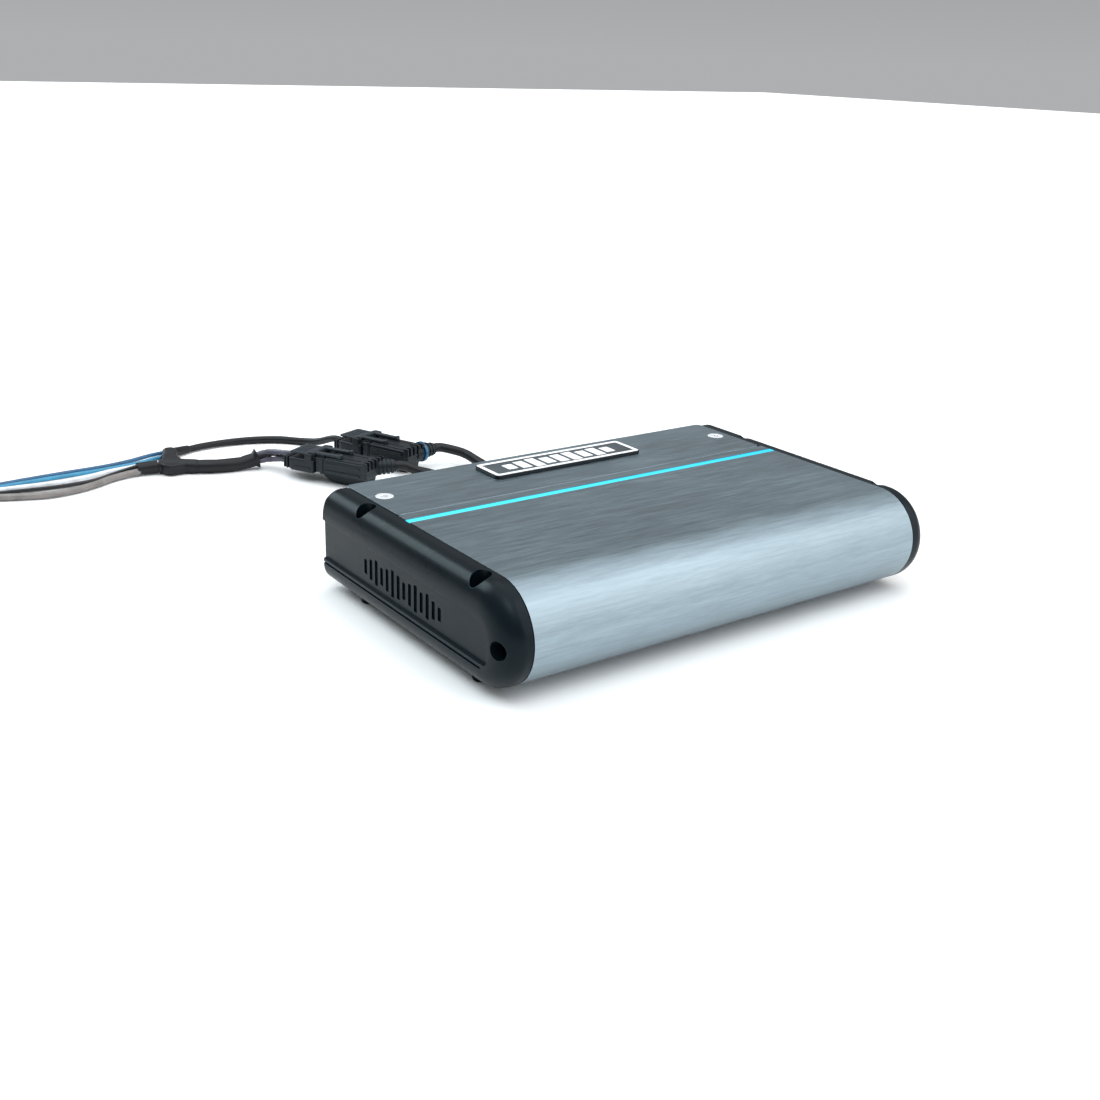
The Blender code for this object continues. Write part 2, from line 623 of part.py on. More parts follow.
# ---------------------------------------------------------------- harness
def cable_gland(name, x):
    """A hex body with a locknut inside the rear wall and a tapered relief towards the cable."""
    bore = PIGTAIL_D / 2 + GAP
    inner = REAR - WALL
    profile = [
        (bore, inner - 6), (6.0, inner - 6), (6.0, REAR + GAP), (10.0, REAR + GAP), (10.0, REAR + 5),
        (8.4, REAR + 7), (8.4, REAR + 11), (5.6, REAR + 14), (4.6, GLAND_END), (bore, GLAND_END),
    ]
    # the profile's height runs along +Y
    gland = turned(name, [(r, h) for r, h in profile], (x, 0, GLAND_Z), "black_plastic", axis="Y", steps=16)
    return smooth(gland)


def placed(connector, *objects):
    """Turn and move objects from a connector's own frame to its place on the floor."""
    (x, y), turn, _ = CONNECTORS[connector]
    place = Matrix.Translation(mm(x, y, 0)) @ Matrix.Rotation(math.radians(turn), 4, "Z")
    for obj in objects:
        obj.data.transform(place)


def connector_point(connector, across, along, height):
    (x, y), turn, _ = CONNECTORS[connector]
    point = Matrix.Rotation(math.radians(turn), 3, "Z") @ Vector((across, along, height))
    return Vector((x, y, 0)) + point


def exit_direction(connector):
    (_, _), _, heading = CONNECTORS[connector]
    return Vector((math.cos(math.radians(heading)), math.sin(math.radians(heading)), 0))


def boot_ends(connector):
    """Start and end of the short boot that turns the cable out of a header's corner."""
    start = connector_point(connector, 5.0, 5.0, CABLE_Z)
    return start, start + 15.0 * exit_direction(connector)


def header(connector):
    """The amplifier's half: a keyed shroud with a castellated end, a foot rail and a cable boot."""
    name = f"{connector}_connector_header"
    half = HEADER_W / 2
    body = box(name, (-half, 0, SHELL_LOW), (half, HEADER_LEN, SHELL_HIGH), "black_plastic")
    rail = box(name + "_rail", (-4.5, 6, 0), (4.5, 30, SHELL_LOW + 1))
    cavity = box(name + "_cavity", (-half + 2, 14, SHELL_LOW + 2), (half - 2, HEADER_LEN + 5, SHELL_HIGH - 2))
    teeth = [box(f"{name}_notch_{k}", (x - 1.2, -2, SHELL_HIGH - 3), (x + 1.2, 2.2, SHELL_HIGH + 3))
             for k, x in enumerate((-6.6, -2.2, 2.2, 6.6))]
    placed(connector, body, rail, cavity, *teeth)
    start, end = boot_ends(connector)
    boot = rod(name + "_boot", start, end, 5.6, sides=14, end_radius=4.4)
    join(body, rail, boot)
    cut(body, cavity, *teeth)
    return body


def plug(connector):
    """The harness half: a nose inside the header's shroud, a wide body and a ribbed collar."""
    name = f"{connector}_connector_plug"
    nose_half, half = HEADER_W / 2 - 2 - GAP, PLUG_W / 2
    body = box(name, (-half, HEADER_LEN + GAP, 6.5), (half, PLUG_END, 15.2), "black_plastic")
    nose = box(name + "_nose", (-nose_half, 15, SHELL_LOW + 2 + GAP),
               (nose_half, HEADER_LEN + 2, SHELL_HIGH - 2 - GAP))
    collar = box(name + "_collar", (-10.5, PLUG_END - 1, 7.5), (10.5, COLLAR_END, 14.4))
    ribs = [box(f"{name}_rib_{k}", (-12, y, 6.8), (12, y + 1.5, 15.0)) for k, y in enumerate((61.2, 64.0))]
    posts = [box(f"{name}_post_{k}", (x - 1.2, 42, 14), (x + 1.2, 47, 19.4))
             for k, x in enumerate((-11.8, 11.8))]
    placed(connector, body, nose, collar, *ribs, *posts)
    join(body, nose, collar, *ribs, *posts)
    return body


def latch(connector):
    """A rocking lever between the plug's posts: two hooks over the header and a thumb plate."""
    name = f"{connector}_connector_latch"
    bar = box(name, (-10.2, 42.5, 17.0), (10.2, 46.5, 20.0), "black_plastic")
    thumb = box(name + "_thumb", (-9.2, 45, 18.4), (9.2, 60, 19.9))
    arms = [box(f"{name}_arm_{k}", (x - 1.7, 22, 18.0), (x + 1.7, 43.5, 19.8))
            for k, x in enumerate((-6.5, 6.5))]
    placed(connector, bar, thumb, *arms)
    join(bar, thumb, *arms)
    pivot = connector_point(connector, 0, 44.5, 18.5)
    set_origin(bar, pivot)
    return bar


def harness():
    for connector, x in GLANDS.items():
        cable_gland(f"{connector}_cable_gland", x)
        header(connector)
        plug(connector)
        latch(connector)
    for name, (route, diameter, material) in cord_routes().items():
        tube(name, route, diameter, material)
    y_boot()
    wire_coil()


def cord_routes():
    """Every cord's route: its points in millimetres, its diameter and its material."""
    gland_end = GLAND_END + GAP
    back_boot, front_boot = boot_ends("back")[1], boot_ends("front")[1]
    front_out, back_out = exit_direction("front"), exit_direction("back")
    tail = connector_point("front", 0, COLLAR_END + GAP, 11.0)
    upper = connector_point("back", 0, COLLAR_END + GAP, 11.0)
    harness_side = {c: connector_point(c, 0, 1, 0) - connector_point(c, 0, 0, 0) for c in CONNECTORS}
    pigtail_r = PIGTAIL_D / 2 + 0.1
    return {
        "back_pigtail": ([
            back_boot + 2 * GAP * back_out, back_boot + 6 * back_out, (39, 244, 11), (46, 239, 8.5),
            (49.5, 230, 5.5), (51, 218, 3.8), (52.5, 200, pigtail_r), (54.5, 175, pigtail_r),
            (56, 152, 4.2), (56, 136, 9), (56, 124, 15.5), (56, 116, 19),
            (56, gland_end, GLAND_Z)], PIGTAIL_D, "cable_sheath"),
        "front_pigtail": ([
            front_boot + 2 * GAP * front_out, front_boot + 6 * front_out, (-4, 219.5, 9), (4, 213.5, 7),
            (11.5, 204.5, 5), (17, 192, 3.8), (21, 175, pigtail_r), (23.5, 158, pigtail_r), (24, 148, 4.5),
            (24, 135, 9.5), (24, 124, 15.5), (24, 116, 19),
            (24, gland_end, GLAND_Z)], PIGTAIL_D, "cable_sheath"),
        "connector_leads": ([
            tail, tail + 6 * harness_side["front"], (-74, 302, 8.5),
            (-82, 304.5, 6.6)], 7.0, "cable_sheath"),
        "lower_loom": ([
            (-82.6, 304.7, 6.2), (-90, 305.5, 4.7), (-100, 306.5, 4.6), (-110, 309, 4.6),
            (-119, 313.6, 4.6), (-122.6, 315.7, 4.6), (-126.3, 317.9, 4.6)], LOWER_LOOM_D, "cable_sheath"),
        "upper_loom": ([
            upper, upper + 10 * harness_side["back"], (-24, 327, 5), (-31, 341, 2.6), (-43, 353, 2.6),
            (-60, 361, 2.6), (-79, 364.5, 2.6), (-97, 364, 2.6), (-112, 360, 2.6), (-121.4, 355.5, 3.1)],
            UPPER_LOOM_D, "cable_sheath"),
        "tail_loom": ([
            (-145.2, 327, 4.6), (-150.5, 327.6, 4.6), (-156.4, 328.4, 4.6)], LOWER_LOOM_D, "cable_sheath"),
        "blue_wire_rear": ([
            (-129.2, 359.4, 3.6), (-136.6, 359.4, 2.8), (-144, 359.3, 1.9), (-152, 357.5, 1.5),
            (-167, 354.2, 1.5), (-180, 353, 1.5), (-195, 352.5, 1.5), (-210, 351.5, 1.5),
            (-228, 350, 1.5), (-250, 347.5, 1.5), (-272, 345.2, 1.5),
            (-304, 343.6, 1.5)], 2.8, "blue_wire"),
        "blue_wire_front": ([
            (-133.6, 348.6, 3.8), (-139.0, 349.0, 3.0), (-146, 349.0, 2.0), (-155, 348.6, 1.5),
            (-168, 347.4, 1.5), (-180, 346.3, 1.5), (-195, 345.8, 1.5), (-210, 345.3, 1.5),
            (-228, 344.2, 1.5), (-250, 342.6, 1.5), (-272, 341.2, 1.5),
            (-297, 340.4, 1.5)], 2.8, "blue_wire"),
        "white_wire": ([
            (-157.3, 331.5, 5.2), (-165, 335.5, 3.4), (-174, 337.4, 2.3), (-184, 335.4, 1.9),
            (-197, 333.4, 1.9), (-213, 332.6, 1.9), (-230, 334, 1.9), (-250, 336, 1.9),
            (-272, 336.9, 1.9), (-291.5, 336.8, 1.9)],
            3.6, "white_wire"),
        "black_wire": ([
            (-157.3, 328.2, 6.7), (-165, 330, 4.2), (-174, 330.8, 2.3), (-186, 327.3, 1.4),
            (-200, 325.8, 1.4), (-215, 326.2, 1.4), (-230, 328.6, 1.4), (-250, 331.6, 1.4),
            (-272, 333.2, 1.4), (-287, 333.3, 1.4)],
            2.6, "cable_sheath"),
        "grey_wire": ([
            (-157.6, 325.8, 3.3), (-166, 325.8, 2.6), (-177, 322.5, 2.3), (-189, 316, 2.3),
            (-204, 311, 2.3), (-220, 310, 2.3), (-235, 314.5, 2.3), (-250, 320.8, 2.3),
            (-268, 327, 2.3), (-282, 328.8, 2.3)],
            4.4, "grey_wire"),
    }


def y_boot():
    """The taped join where the two looms meet and the wires part again."""
    boot = plate("loom_boot", BOOT_OUTLINE, 0.0, BOOT_HEIGHT, "XY", "cable_sheath")
    add_bevel(boot, BOOT_EDGE)


def wire_coil():
    """The wires' spare length: two turns of five wires, side by side, as one ring on the floor."""
    inner, outer, height = COIL_RADII[0], COIL_RADII[1], COIL_HEIGHT
    ring = [(inner, 1.0), (inner, height - 1.0), (inner + 1.5, height), (outer - 1.5, height),
            (outer, height - 1.0), (outer, 1.0), (outer - 1.5, 0.0), (inner + 1.5, 0.0)]
    smooth(turned("wire_coil", ring, (*COIL_CENTRE, 0), "blue_wire", steps=32), 50)


heat_sink_shell()
for label, sign in (("left", -1), ("right", 1)):
    end_cap(sign, f"{label}_end_cap")
    cap_screw(sign, f"{label}_cap_screw")
    for where, y in zip(("front", "rear"), FOOT_Y, strict=True):
        foot(f"{where}_{label}_foot", sign * FOOT_X, y)
    cover_screw(f"{label}_cover_screw", sign * COVER_SCREW[0])
    for where, y in zip(("front", "rear"), BASE_SCREW[1:], strict=True):
        base_screw(f"{where}_{label}_base_screw", sign * BASE_SCREW[0], y)
light_strip()
access_cover()
control_well()
for label, x in KNOBS.items():
    knob(label, x)
for label, x in SWITCHES.items():
    slide_switch(label, x)
base_plate()
electronics()
harness()
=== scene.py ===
import math

import bmesh
import bpy
from mathutils import Matrix, Vector


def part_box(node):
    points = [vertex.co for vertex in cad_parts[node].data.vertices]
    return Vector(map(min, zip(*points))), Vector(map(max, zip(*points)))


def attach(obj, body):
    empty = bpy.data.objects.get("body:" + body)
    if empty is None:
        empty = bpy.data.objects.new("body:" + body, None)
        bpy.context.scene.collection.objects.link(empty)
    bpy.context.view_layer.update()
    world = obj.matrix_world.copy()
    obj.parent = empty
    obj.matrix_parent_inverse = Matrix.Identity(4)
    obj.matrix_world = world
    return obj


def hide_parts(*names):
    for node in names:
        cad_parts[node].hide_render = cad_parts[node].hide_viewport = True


# The looks of a compact sealed car amplifier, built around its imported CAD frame. Shapes are made
# in millimetres, in the frame's own axes (+X along the case, the bullnose along -Y, +Z up), and
# piece() scales them to metres.
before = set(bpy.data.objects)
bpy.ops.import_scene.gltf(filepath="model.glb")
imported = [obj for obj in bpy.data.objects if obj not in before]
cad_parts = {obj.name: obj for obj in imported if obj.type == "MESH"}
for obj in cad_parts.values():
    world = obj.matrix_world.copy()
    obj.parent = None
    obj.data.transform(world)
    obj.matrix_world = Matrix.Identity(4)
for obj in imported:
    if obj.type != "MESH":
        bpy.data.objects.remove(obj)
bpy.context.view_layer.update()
MM = 0.001


def box_mm(node):
    low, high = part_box(node)
    return low / MM, high / MM


# ---------------------------------------------------------------- sizes from the frame
SHELL_END = box_mm("heat_sink_shell")[1].x
cap_low, cap_high = box_mm("right_end_cap")
HALF_LENGTH = 126.0
CAP_OUT = cap_high.x                    # outer face of an end cap
FRONT, REAR = cap_low.y, cap_high.y
BOTTOM, TOP = cap_low.z, cap_high.z
MIDDLE = (BOTTOM + TOP) / 2
NOSE_R = (TOP - BOTTOM) / 2
NOSE_Y = FRONT + NOSE_R
GAP = 0.3
WALL = 3.0
REAR_CORNER = 5.0
CAP_FILLET = 10.8
BROW = 0.42                             # a cap's upper edge is that much taller than its fillet
BORE_X, BORE_R, BOLT_R, BORE_FLOOR = 132.7, 5.2, 2.7, 12.0
BORE_Y = (-54.8, 52.1)
RECESS_DEPTH, RECESS_LOW, RECESS_HIGH, RECESS_FRONT = 1.8, 18.0, 39.5, -71.5
SCREW_Y, SCREW_Z, SCREW_BORE_R = -79.0, 29.0, 4.6
CAP_SCREW_X = 133.3
FOOT_X, FOOT_Y, SPIGOT_R = 128.5, (-49.2, 58.8), 2.4
STRIP_LOW, STRIP_HIGH = box_mm("led_light_pipe")
SEAM_Y = 32.0
LEDGE_TOP = 52.0
COVER_SCREW = (116.5, 62.0)
WINDOW = (107.0, 41.0, 79.0)
BADGE_CORNER = 2.5
KNOBS = ("gain_knob", "crossover_knob", "bass_knob")
SWITCHES = ("input_switch", "filter_switch")
CONTROL_Y = 60.0
WELL_FLOOR = 41.5
GLAND_X = {"front": 24.0, "back": 56.0}
GLAND_Z = 20.0
# each connector: middle of its amplifier end, turn about Z, direction of its cable, in degrees
CONNECTORS = {"front": ((-33.2, 225.2), 28.7, -21.0), "back": ((7.8, 240.0), 21.7, 10.0)}
COIL_CENTRE = Vector((-328.0, 290.0, 0.0))


# ---------------------------------------------------------------- materials
COOL = (0.80, 0.95, 1.0)                # the studio's cool cast


def new_material(name, colour, roughness, metallic=0.0, constants=()):
    material = bpy.data.materials.new(name)
    material.use_nodes = True
    tree = material.node_tree
    shader = tree.nodes["Principled BSDF"]
    shader.inputs["Base Color"].default_value = (*colour, 1.0)
    shader.inputs["Roughness"].default_value = roughness
    shader.inputs["Metallic"].default_value = metallic
    for socket, value in dict(constants).items():
        shader.inputs[socket].default_value = value
    return material, tree, shader


def add_node(tree, kind, settings=(), **inputs):
    """A node with its settings and inputs; an input that is a socket is linked."""
    made = tree.nodes.new(kind)
    for key, value in dict(settings).items():
        setattr(made, key, value)
    for key, value in inputs.items():
        socket = made.inputs[int(key[1:])] if key[0] == "i" and key[1:].isdigit() else made.inputs[key]
        if isinstance(value, bpy.types.NodeSocket):
            tree.links.new(value, socket)
        else:
            socket.default_value = value
    return made


def object_place(tree):
    return add_node(tree, "ShaderNodeTexCoord").outputs["Object"]


def feed(shader, socket, value):
    shader.id_data.links.new(value, shader.inputs[socket])


def stretched_noise(tree, scale, detail=3.0, roughness=0.55):
    """Noise whose features are 1/scale metres long along each axis."""
    place = add_node(tree, "ShaderNodeMapping", Vector=object_place(tree), Scale=scale).outputs["Vector"]
    return add_node(tree, "ShaderNodeTexNoise", Vector=place, Scale=1.0, Detail=detail,
                    Roughness=roughness).outputs["Fac"]


def remap(tree, value, low, high, out_low, out_high):
    made = add_node(tree, "ShaderNodeMapRange", Value=value)
    for socket, number in zip(("From Min", "From Max", "To Min", "To Max"), (low, high, out_low, out_high)):
        made.inputs[socket].default_value = number
    return made.outputs["Result"]


def mixed(tree, factor, one, other):
    made = add_node(tree, "ShaderNodeMix", {"data_type": "RGBA"})
    tree.links.new(factor, made.inputs["Factor"])
    for socket, value in (("A", one), ("B", other)):
        target = [s for s in made.inputs if s.name == socket and s.type == "RGBA"][0]
        if isinstance(value, bpy.types.NodeSocket):
            tree.links.new(value, target)
        else:
            target.default_value = (*value, 1.0)
    return [s for s in made.outputs if s.type == "RGBA"][0]


def edge_mask(tree, radius, low=0.02, high=0.25):
    """1 on convex or concave edges, 0 on open faces."""
    bevel = add_node(tree, "ShaderNodeBevel", {"samples": 4}, Radius=radius)
    normal = add_node(tree, "ShaderNodeNewGeometry").outputs["Normal"]
    facing = add_node(tree, "ShaderNodeVectorMath", {"operation": "DOT_PRODUCT"}, i0=bevel.outputs[0],
                      i1=normal)
    return remap(tree, facing.outputs["Value"], 1.0 - low, 1.0 - high, 0.0, 1.0)


def bump(tree, shader, height, strength, distance, under=None):
    """Bumps that far high, on top of those under them."""
    made = add_node(tree, "ShaderNodeBump", Height=height, Strength=strength, Distance=distance)
    if under:
        tree.links.new(under, made.inputs["Normal"])
    feed(shader, "Normal", made.outputs["Normal"])
    return made.outputs["Normal"]


def shaded(tree, factor, colour, darker, lighter):
    """The colour, from darker times itself to lighter times itself."""
    return mixed(tree, factor, [c * darker for c in colour], [min(1.0, c * lighter) for c in colour])


def brushed_metal(name, colour, roughness, along="X", contrast=0.10, metallic=1.0):
    """Brushed along one axis: long streaks in two widths, uneven polish, and lighter edges: worn, and partly
    a painted highlight.
    """
    material, tree, shader = new_material(name, colour, roughness, metallic)
    fine = {"X": (110, 1600, 1600), "Y": (1600, 110, 1600), "Z": (1600, 1600, 110)}[along]
    coarse = tuple(v / 2.6 for v in fine)
    streaks = stretched_noise(tree, fine, 4.0, 0.7)
    bands = stretched_noise(tree, coarse, 2.0, 0.5)
    cloud = stretched_noise(tree, (9, 14, 14), 3.0)
    both = add_node(tree, "ShaderNodeMath", {"operation": "ADD"}, i0=streaks, i1=bands).outputs[0]
    shade = remap(tree, both, 0.7, 1.3, 0.0, 1.0)
    base = shaded(tree, shade, colour, 1 - contrast, 1 + contrast)
    # Edges half as bright again: wear plus a painted highlight on rims and creases.
    wear_and_edge_highlight = mixed(tree, edge_mask(tree, 0.0004), base, tuple(min(1.0, c * 1.5) for c in colour))
    feed(shader, "Base Color", wear_and_edge_highlight)
    polish = add_node(tree, "ShaderNodeMath", {"operation": "MULTIPLY_ADD"}, i0=shade, i1=0.10,
                      i2=remap(tree, cloud, 0.3, 0.7, roughness - 0.07, roughness + 0.03)).outputs[0]
    feed(shader, "Roughness", polish)
    bump(tree, shader, both, 0.5, 0.00005)
    return material


def moulded_plastic(name, colour, roughness, grain=0.00035, depth=0.00002, edge=1.7, specular=0.3):
    """Moulded plastic: a fine spark grain, faint flow patches, and lighter edges: rubbed wear plus a painted
    highlight, strongest at a large edge factor.
    """
    material, tree, shader = new_material(name, colour, roughness, 0.0, {
        "Specular IOR Level": specular, "Specular Tint": (*COOL, 1.0)})
    spark = stretched_noise(tree, (1 / grain,) * 3, 2.0, 0.6)
    flow = stretched_noise(tree, (28, 28, 28), 4.0, 0.6)
    scuffs = stretched_noise(tree, (70, 600, 600), 3.0, 0.65)
    base = shaded(tree, remap(tree, flow, 0.3, 0.7, 0.0, 1.0), colour, 0.78, 1.22)
    # Edges lighter by the edge factor: rubbed wear plus a painted highlight along edges and creases.
    wear_and_edge_highlight = mixed(tree, edge_mask(tree, 0.0005), base, tuple(c * edge + 0.004 for c in colour))
    feed(shader, "Base Color", wear_and_edge_highlight)
    uneven = add_node(tree, "ShaderNodeMath", {"operation": "MULTIPLY_ADD"}, i0=scuffs, i1=0.12,
                      i2=remap(tree, flow, 0.3, 0.7, roughness - 0.10, roughness)).outputs[0]
    feed(shader, "Roughness", uneven)
    bump(tree, shader, spark, 0.35, depth)
    return material


def insulation(name, colour, roughness, coat=0.0):
    """A drawn cord sheath: faint long waves, fine scuffs and a little dirt."""
    material, tree, shader = new_material(name, colour, roughness, 0.0, {
        "Coat Weight": coat, "Coat Roughness": 0.12, "Specular IOR Level": 0.3})
    waves = stretched_noise(tree, (160, 160, 160), 2.0)
    scuffs = stretched_noise(tree, (1500, 1500, 1500), 3.0, 0.7)
    base = shaded(tree, remap(tree, waves, 0.3, 0.7, 0.0, 1.0), colour, 0.82, 1.12)
    feed(shader, "Base Color", base)
    rubbed = remap(tree, scuffs, 0.3, 0.7, roughness - 0.08, roughness + 0.10)
    feed(shader, "Roughness", rubbed)
    lower = bump(tree, shader, scuffs, 0.25, 0.00002)
    bump(tree, shader, waves, 0.5, 0.0001, lower)
    return material


def light_pipe():
    """Lit acrylic: a paler core where the diodes sit below, deeper cyan towards the right end."""
    material, tree, shader = new_material("lit_acrylic", (0.01, 0.20, 0.28), 0.3, 0.0, {
        "Specular IOR Level": 0.2, "Emission Strength": 1.0})
    along = add_node(tree, "ShaderNodeSeparateXYZ", Vector=object_place(tree)).outputs["X"]
    shade = remap(tree, along, -HALF_LENGTH * MM, HALF_LENGTH * MM, 0.0, 1.0)
    colour = mixed(tree, shade, (0.075, 0.76, 0.90), (0.006, 0.52, 0.88))
    diodes = stretched_noise(tree, (60, 60, 60), 1.0)
    glow = mixed(tree, remap(tree, diodes, 0.35, 0.65, 0.0, 0.10), colour, (0.16, 0.90, 0.95))
    feed(shader, "Emission Color", glow)
    return material


def circuit_board():
    """Green solder mask over a maze of tracks."""
    material, tree, shader = new_material("solder_mask", (0.02, 0.15, 0.07), 0.35)
    cells = add_node(tree, "ShaderNodeTexVoronoi", {"distance": "CHEBYCHEV", "feature": "F1"},
                     Vector=object_place(tree), Scale=320.0).outputs["Distance"]
    tracks = remap(tree, cells, 0.42, 0.46, 0.0, 1.0)
    feed(shader, "Base Color", mixed(tree, tracks, (0.012, 0.10, 0.045), (0.03, 0.21, 0.09)))
    bump(tree, shader, tracks, 0.5, 0.00003)
    return material


def winding():
    """Enamelled copper wire, turn on turn."""
    material, tree, shader = new_material("enamelled_copper", (0.62, 0.24, 0.08), 0.3, 0.85)
    turns = add_node(tree, "ShaderNodeTexWave", {"bands_direction": "DIAGONAL"}, Vector=object_place(tree),
                     Scale=220.0, Distortion=0.6).outputs["Fac"]
    feed(shader, "Base Color", mixed(tree, turns, (0.30, 0.10, 0.03), (0.70, 0.30, 0.11)))
    bump(tree, shader, turns, 0.7, 0.0002)
    return material


def floor_material():
    material, tree, shader = new_material("studio_floor", (0.93, 0.93, 0.93), 0.7)
    cloud = stretched_noise(tree, (1.5, 1.5, 1.5), 3.0)
    feed(shader, "Base Color", mixed(tree, cloud, (0.92, 0.92, 0.92), (0.94, 0.94, 0.94)))
    return material


ALUMINIUM = brushed_metal("brushed_aluminium_case", (0.265, 0.332, 0.372), 0.36, contrast=0.13)
BADGE_RIM = brushed_metal("badge_rim_silver", (0.88, 0.90, 0.92), 0.34, contrast=0.04, metallic=0.08)
CHROME = brushed_metal("polished_screw", (0.86, 0.88, 0.90), 0.22, "Z", 0.03, 0.35)
ZINC = brushed_metal("zinc_plate", (0.60, 0.61, 0.62), 0.3, "Z")
DARK_STEEL = brushed_metal("blackened_screw", (0.012, 0.012, 0.014), 0.4, "Z")
COPPER = brushed_metal("bare_copper", (0.86, 0.42, 0.22), 0.3, "Z")
# edge=5.5 paints a highlight along the cap's edges and the crease round its panel.
CAP_PLASTIC = moulded_plastic("cap_satin_charcoal", (0.0028, 0.0062, 0.0090), 0.31, edge=5.5, specular=0.13)
BASE_PAINT = moulded_plastic("powder_coat", (0.014, 0.015, 0.017), 0.5, 0.0008, 0.00006)
BADGE_BLACK = moulded_plastic("badge_black", (0.006, 0.007, 0.009), 0.3)
BADGE_FIELD = moulded_plastic("badge_field_grey", (0.060, 0.072, 0.080), 0.38)
CONNECTOR = moulded_plastic("connector_nylon", (0.0065, 0.0085, 0.011), 0.36, 0.0005, 0.00004, 2.6)
# A lighter copy of the connector nylon for the latch on top: painted highlight.
CONNECTOR_LIT_COPY = moulded_plastic("latch_nylon_painted_highlight", (0.022, 0.028, 0.034), 0.34, 0.0005, 0.00004, 2.0)
BLACK_PLASTIC = moulded_plastic("control_plastic", (0.014, 0.015, 0.017), 0.45)
RUBBER = moulded_plastic("foot_rubber", (0.004, 0.004, 0.005), 0.75, 0.0006, 0.00005, 1.3, specular=0.15)
SHEATH = insulation("shrunk_sheath", (0.0045, 0.0055, 0.0075), 0.42)
SLEEVE = insulation("capacitor_sleeve_film", (0.02, 0.03, 0.09), 0.3, 0.3)
# A lighter lilac-grey copy of the dark lead sheath: painted sheen on every other lead.
LEAD_LIT_COPY = insulation("lead_painted_lilac_sheen", (0.085, 0.085, 0.115), 0.34, 0.2)
# One blue for both blue wires: the rear wire takes this darker blue as painted shade, and the front wire
# takes the lighter copy below as painted highlight. The connector seal is this blue too.
BLUE = insulation("wire_blue", (0.006, 0.085, 0.19), 0.25, 0.5)
BLUE_LIT_COPY = insulation("wire_blue_painted_highlight", (0.02, 0.22, 0.38), 0.22, 0.5)
WHITE = insulation("wire_white", (0.74, 0.77, 0.80), 0.3, 0.4)
TAUPE = insulation("wire_taupe", (0.20, 0.185, 0.175), 0.34, 0.2)
BLACK_WIRE = insulation("wire_black", (0.006, 0.006, 0.008), 0.32, 0.2)
TIE = moulded_plastic("tie_nylon", (0.008, 0.008, 0.010), 0.35)
LIT = light_pipe()
BOARD = circuit_board()
WINDING = winding()


# ---------------------------------------------------------------- shapes, in millimetres
def arc(centre, radius, start, end, steps):
    angles = [math.radians(start + (end - start) * k / steps) for k in range(steps + 1)]
    return [(centre[0] + radius * math.cos(a), centre[1] + radius * math.sin(a)) for a in angles]


def aimed(direction):
    """The turn that takes +Z to the direction."""
    return direction.to_track_quat("Z", "Y").to_matrix().to_4x4()


# the turn that takes +Z to each axis
AXIS_TURN = {"Z": Matrix.Identity(4), "Y": Matrix.Rotation(math.radians(-90), 4, "X"),
             "X": Matrix.Rotation(math.radians(90), 4, "Y"), "-X": Matrix.Rotation(math.radians(-90), 4, "Y")}


def linked(name, data):
    obj = bpy.data.objects.new(name, data)
    bpy.context.scene.collection.objects.link(obj)
    return obj


def rounded_rectangle(low, high, radius, steps=8):
    (x0, y0), (x1, y1) = low, high
    corners = (((x1 - radius, y1 - radius), 0), ((x0 + radius, y1 - radius), 90),
               ((x0 + radius, y0 + radius), 180), ((x1 - radius, y0 + radius), 270))
    return [p for centre, start in corners for p in arc(centre, radius, start, start + 90, steps)]


def inset_rectangle(low, high, inset, radius):
    """A rounded rectangle that far inside the box's own."""
    return rounded_rectangle((low.x + inset, low.y + inset), (high.x - inset, high.y - inset), radius)


def loft(rings):
    """A closed solid through rings of points, its ends closed flat."""
    shape = bmesh.new()
    rows = [[shape.verts.new(p) for p in ring] for ring in rings]
    for one, other in zip(rows, rows[1:]):
        for k in range(len(one)):
            j = (k + 1) % len(one)
            shape.faces.new((one[k], one[j], other[j], other[k]))
    shape.faces.new(rows[0])
    shape.faces.new(rows[-1])
    bmesh.ops.recalc_face_normals(shape, faces=shape.faces)
    return shape


def in_plane(outline, level, plane="XY"):
    if plane == "XY":
        return [(u, v, level) for u, v in outline]
    if plane == "YZ":
        return [(level, u, v) for u, v in outline]
    return [(u, level, v) for u, v in outline]


def prism(outline, low, high, plane="XY"):
    return loft([in_plane(outline, low, plane), in_plane(outline, high, plane)])


def block(low, high, radius=0.6, segments=3):
    shape = bmesh.new()
    low, high = Vector(low), Vector(high)
    place = Matrix.Translation((low + high) / 2) @ Matrix.Diagonal((*(high - low), 1.0))
    bmesh.ops.create_cube(shape, size=1.0, matrix=place)
    if radius:
        bmesh.ops.bevel(shape, geom=shape.edges[:], offset=radius, segments=segments, affect="EDGES",
                        profile=0.5, clamp_overlap=True)
    bmesh.ops.recalc_face_normals(shape, faces=shape.faces)
    return shape


def rod(start, end, radius, sides=48):
    start, end = Vector(start), Vector(end)
    along = end - start
    shape = bmesh.new()
    bmesh.ops.create_cone(shape, cap_ends=True, segments=sides, radius1=radius, radius2=radius,
                          depth=along.length, matrix=Matrix.Translation((start + end) / 2) @ aimed(along))
    return shape


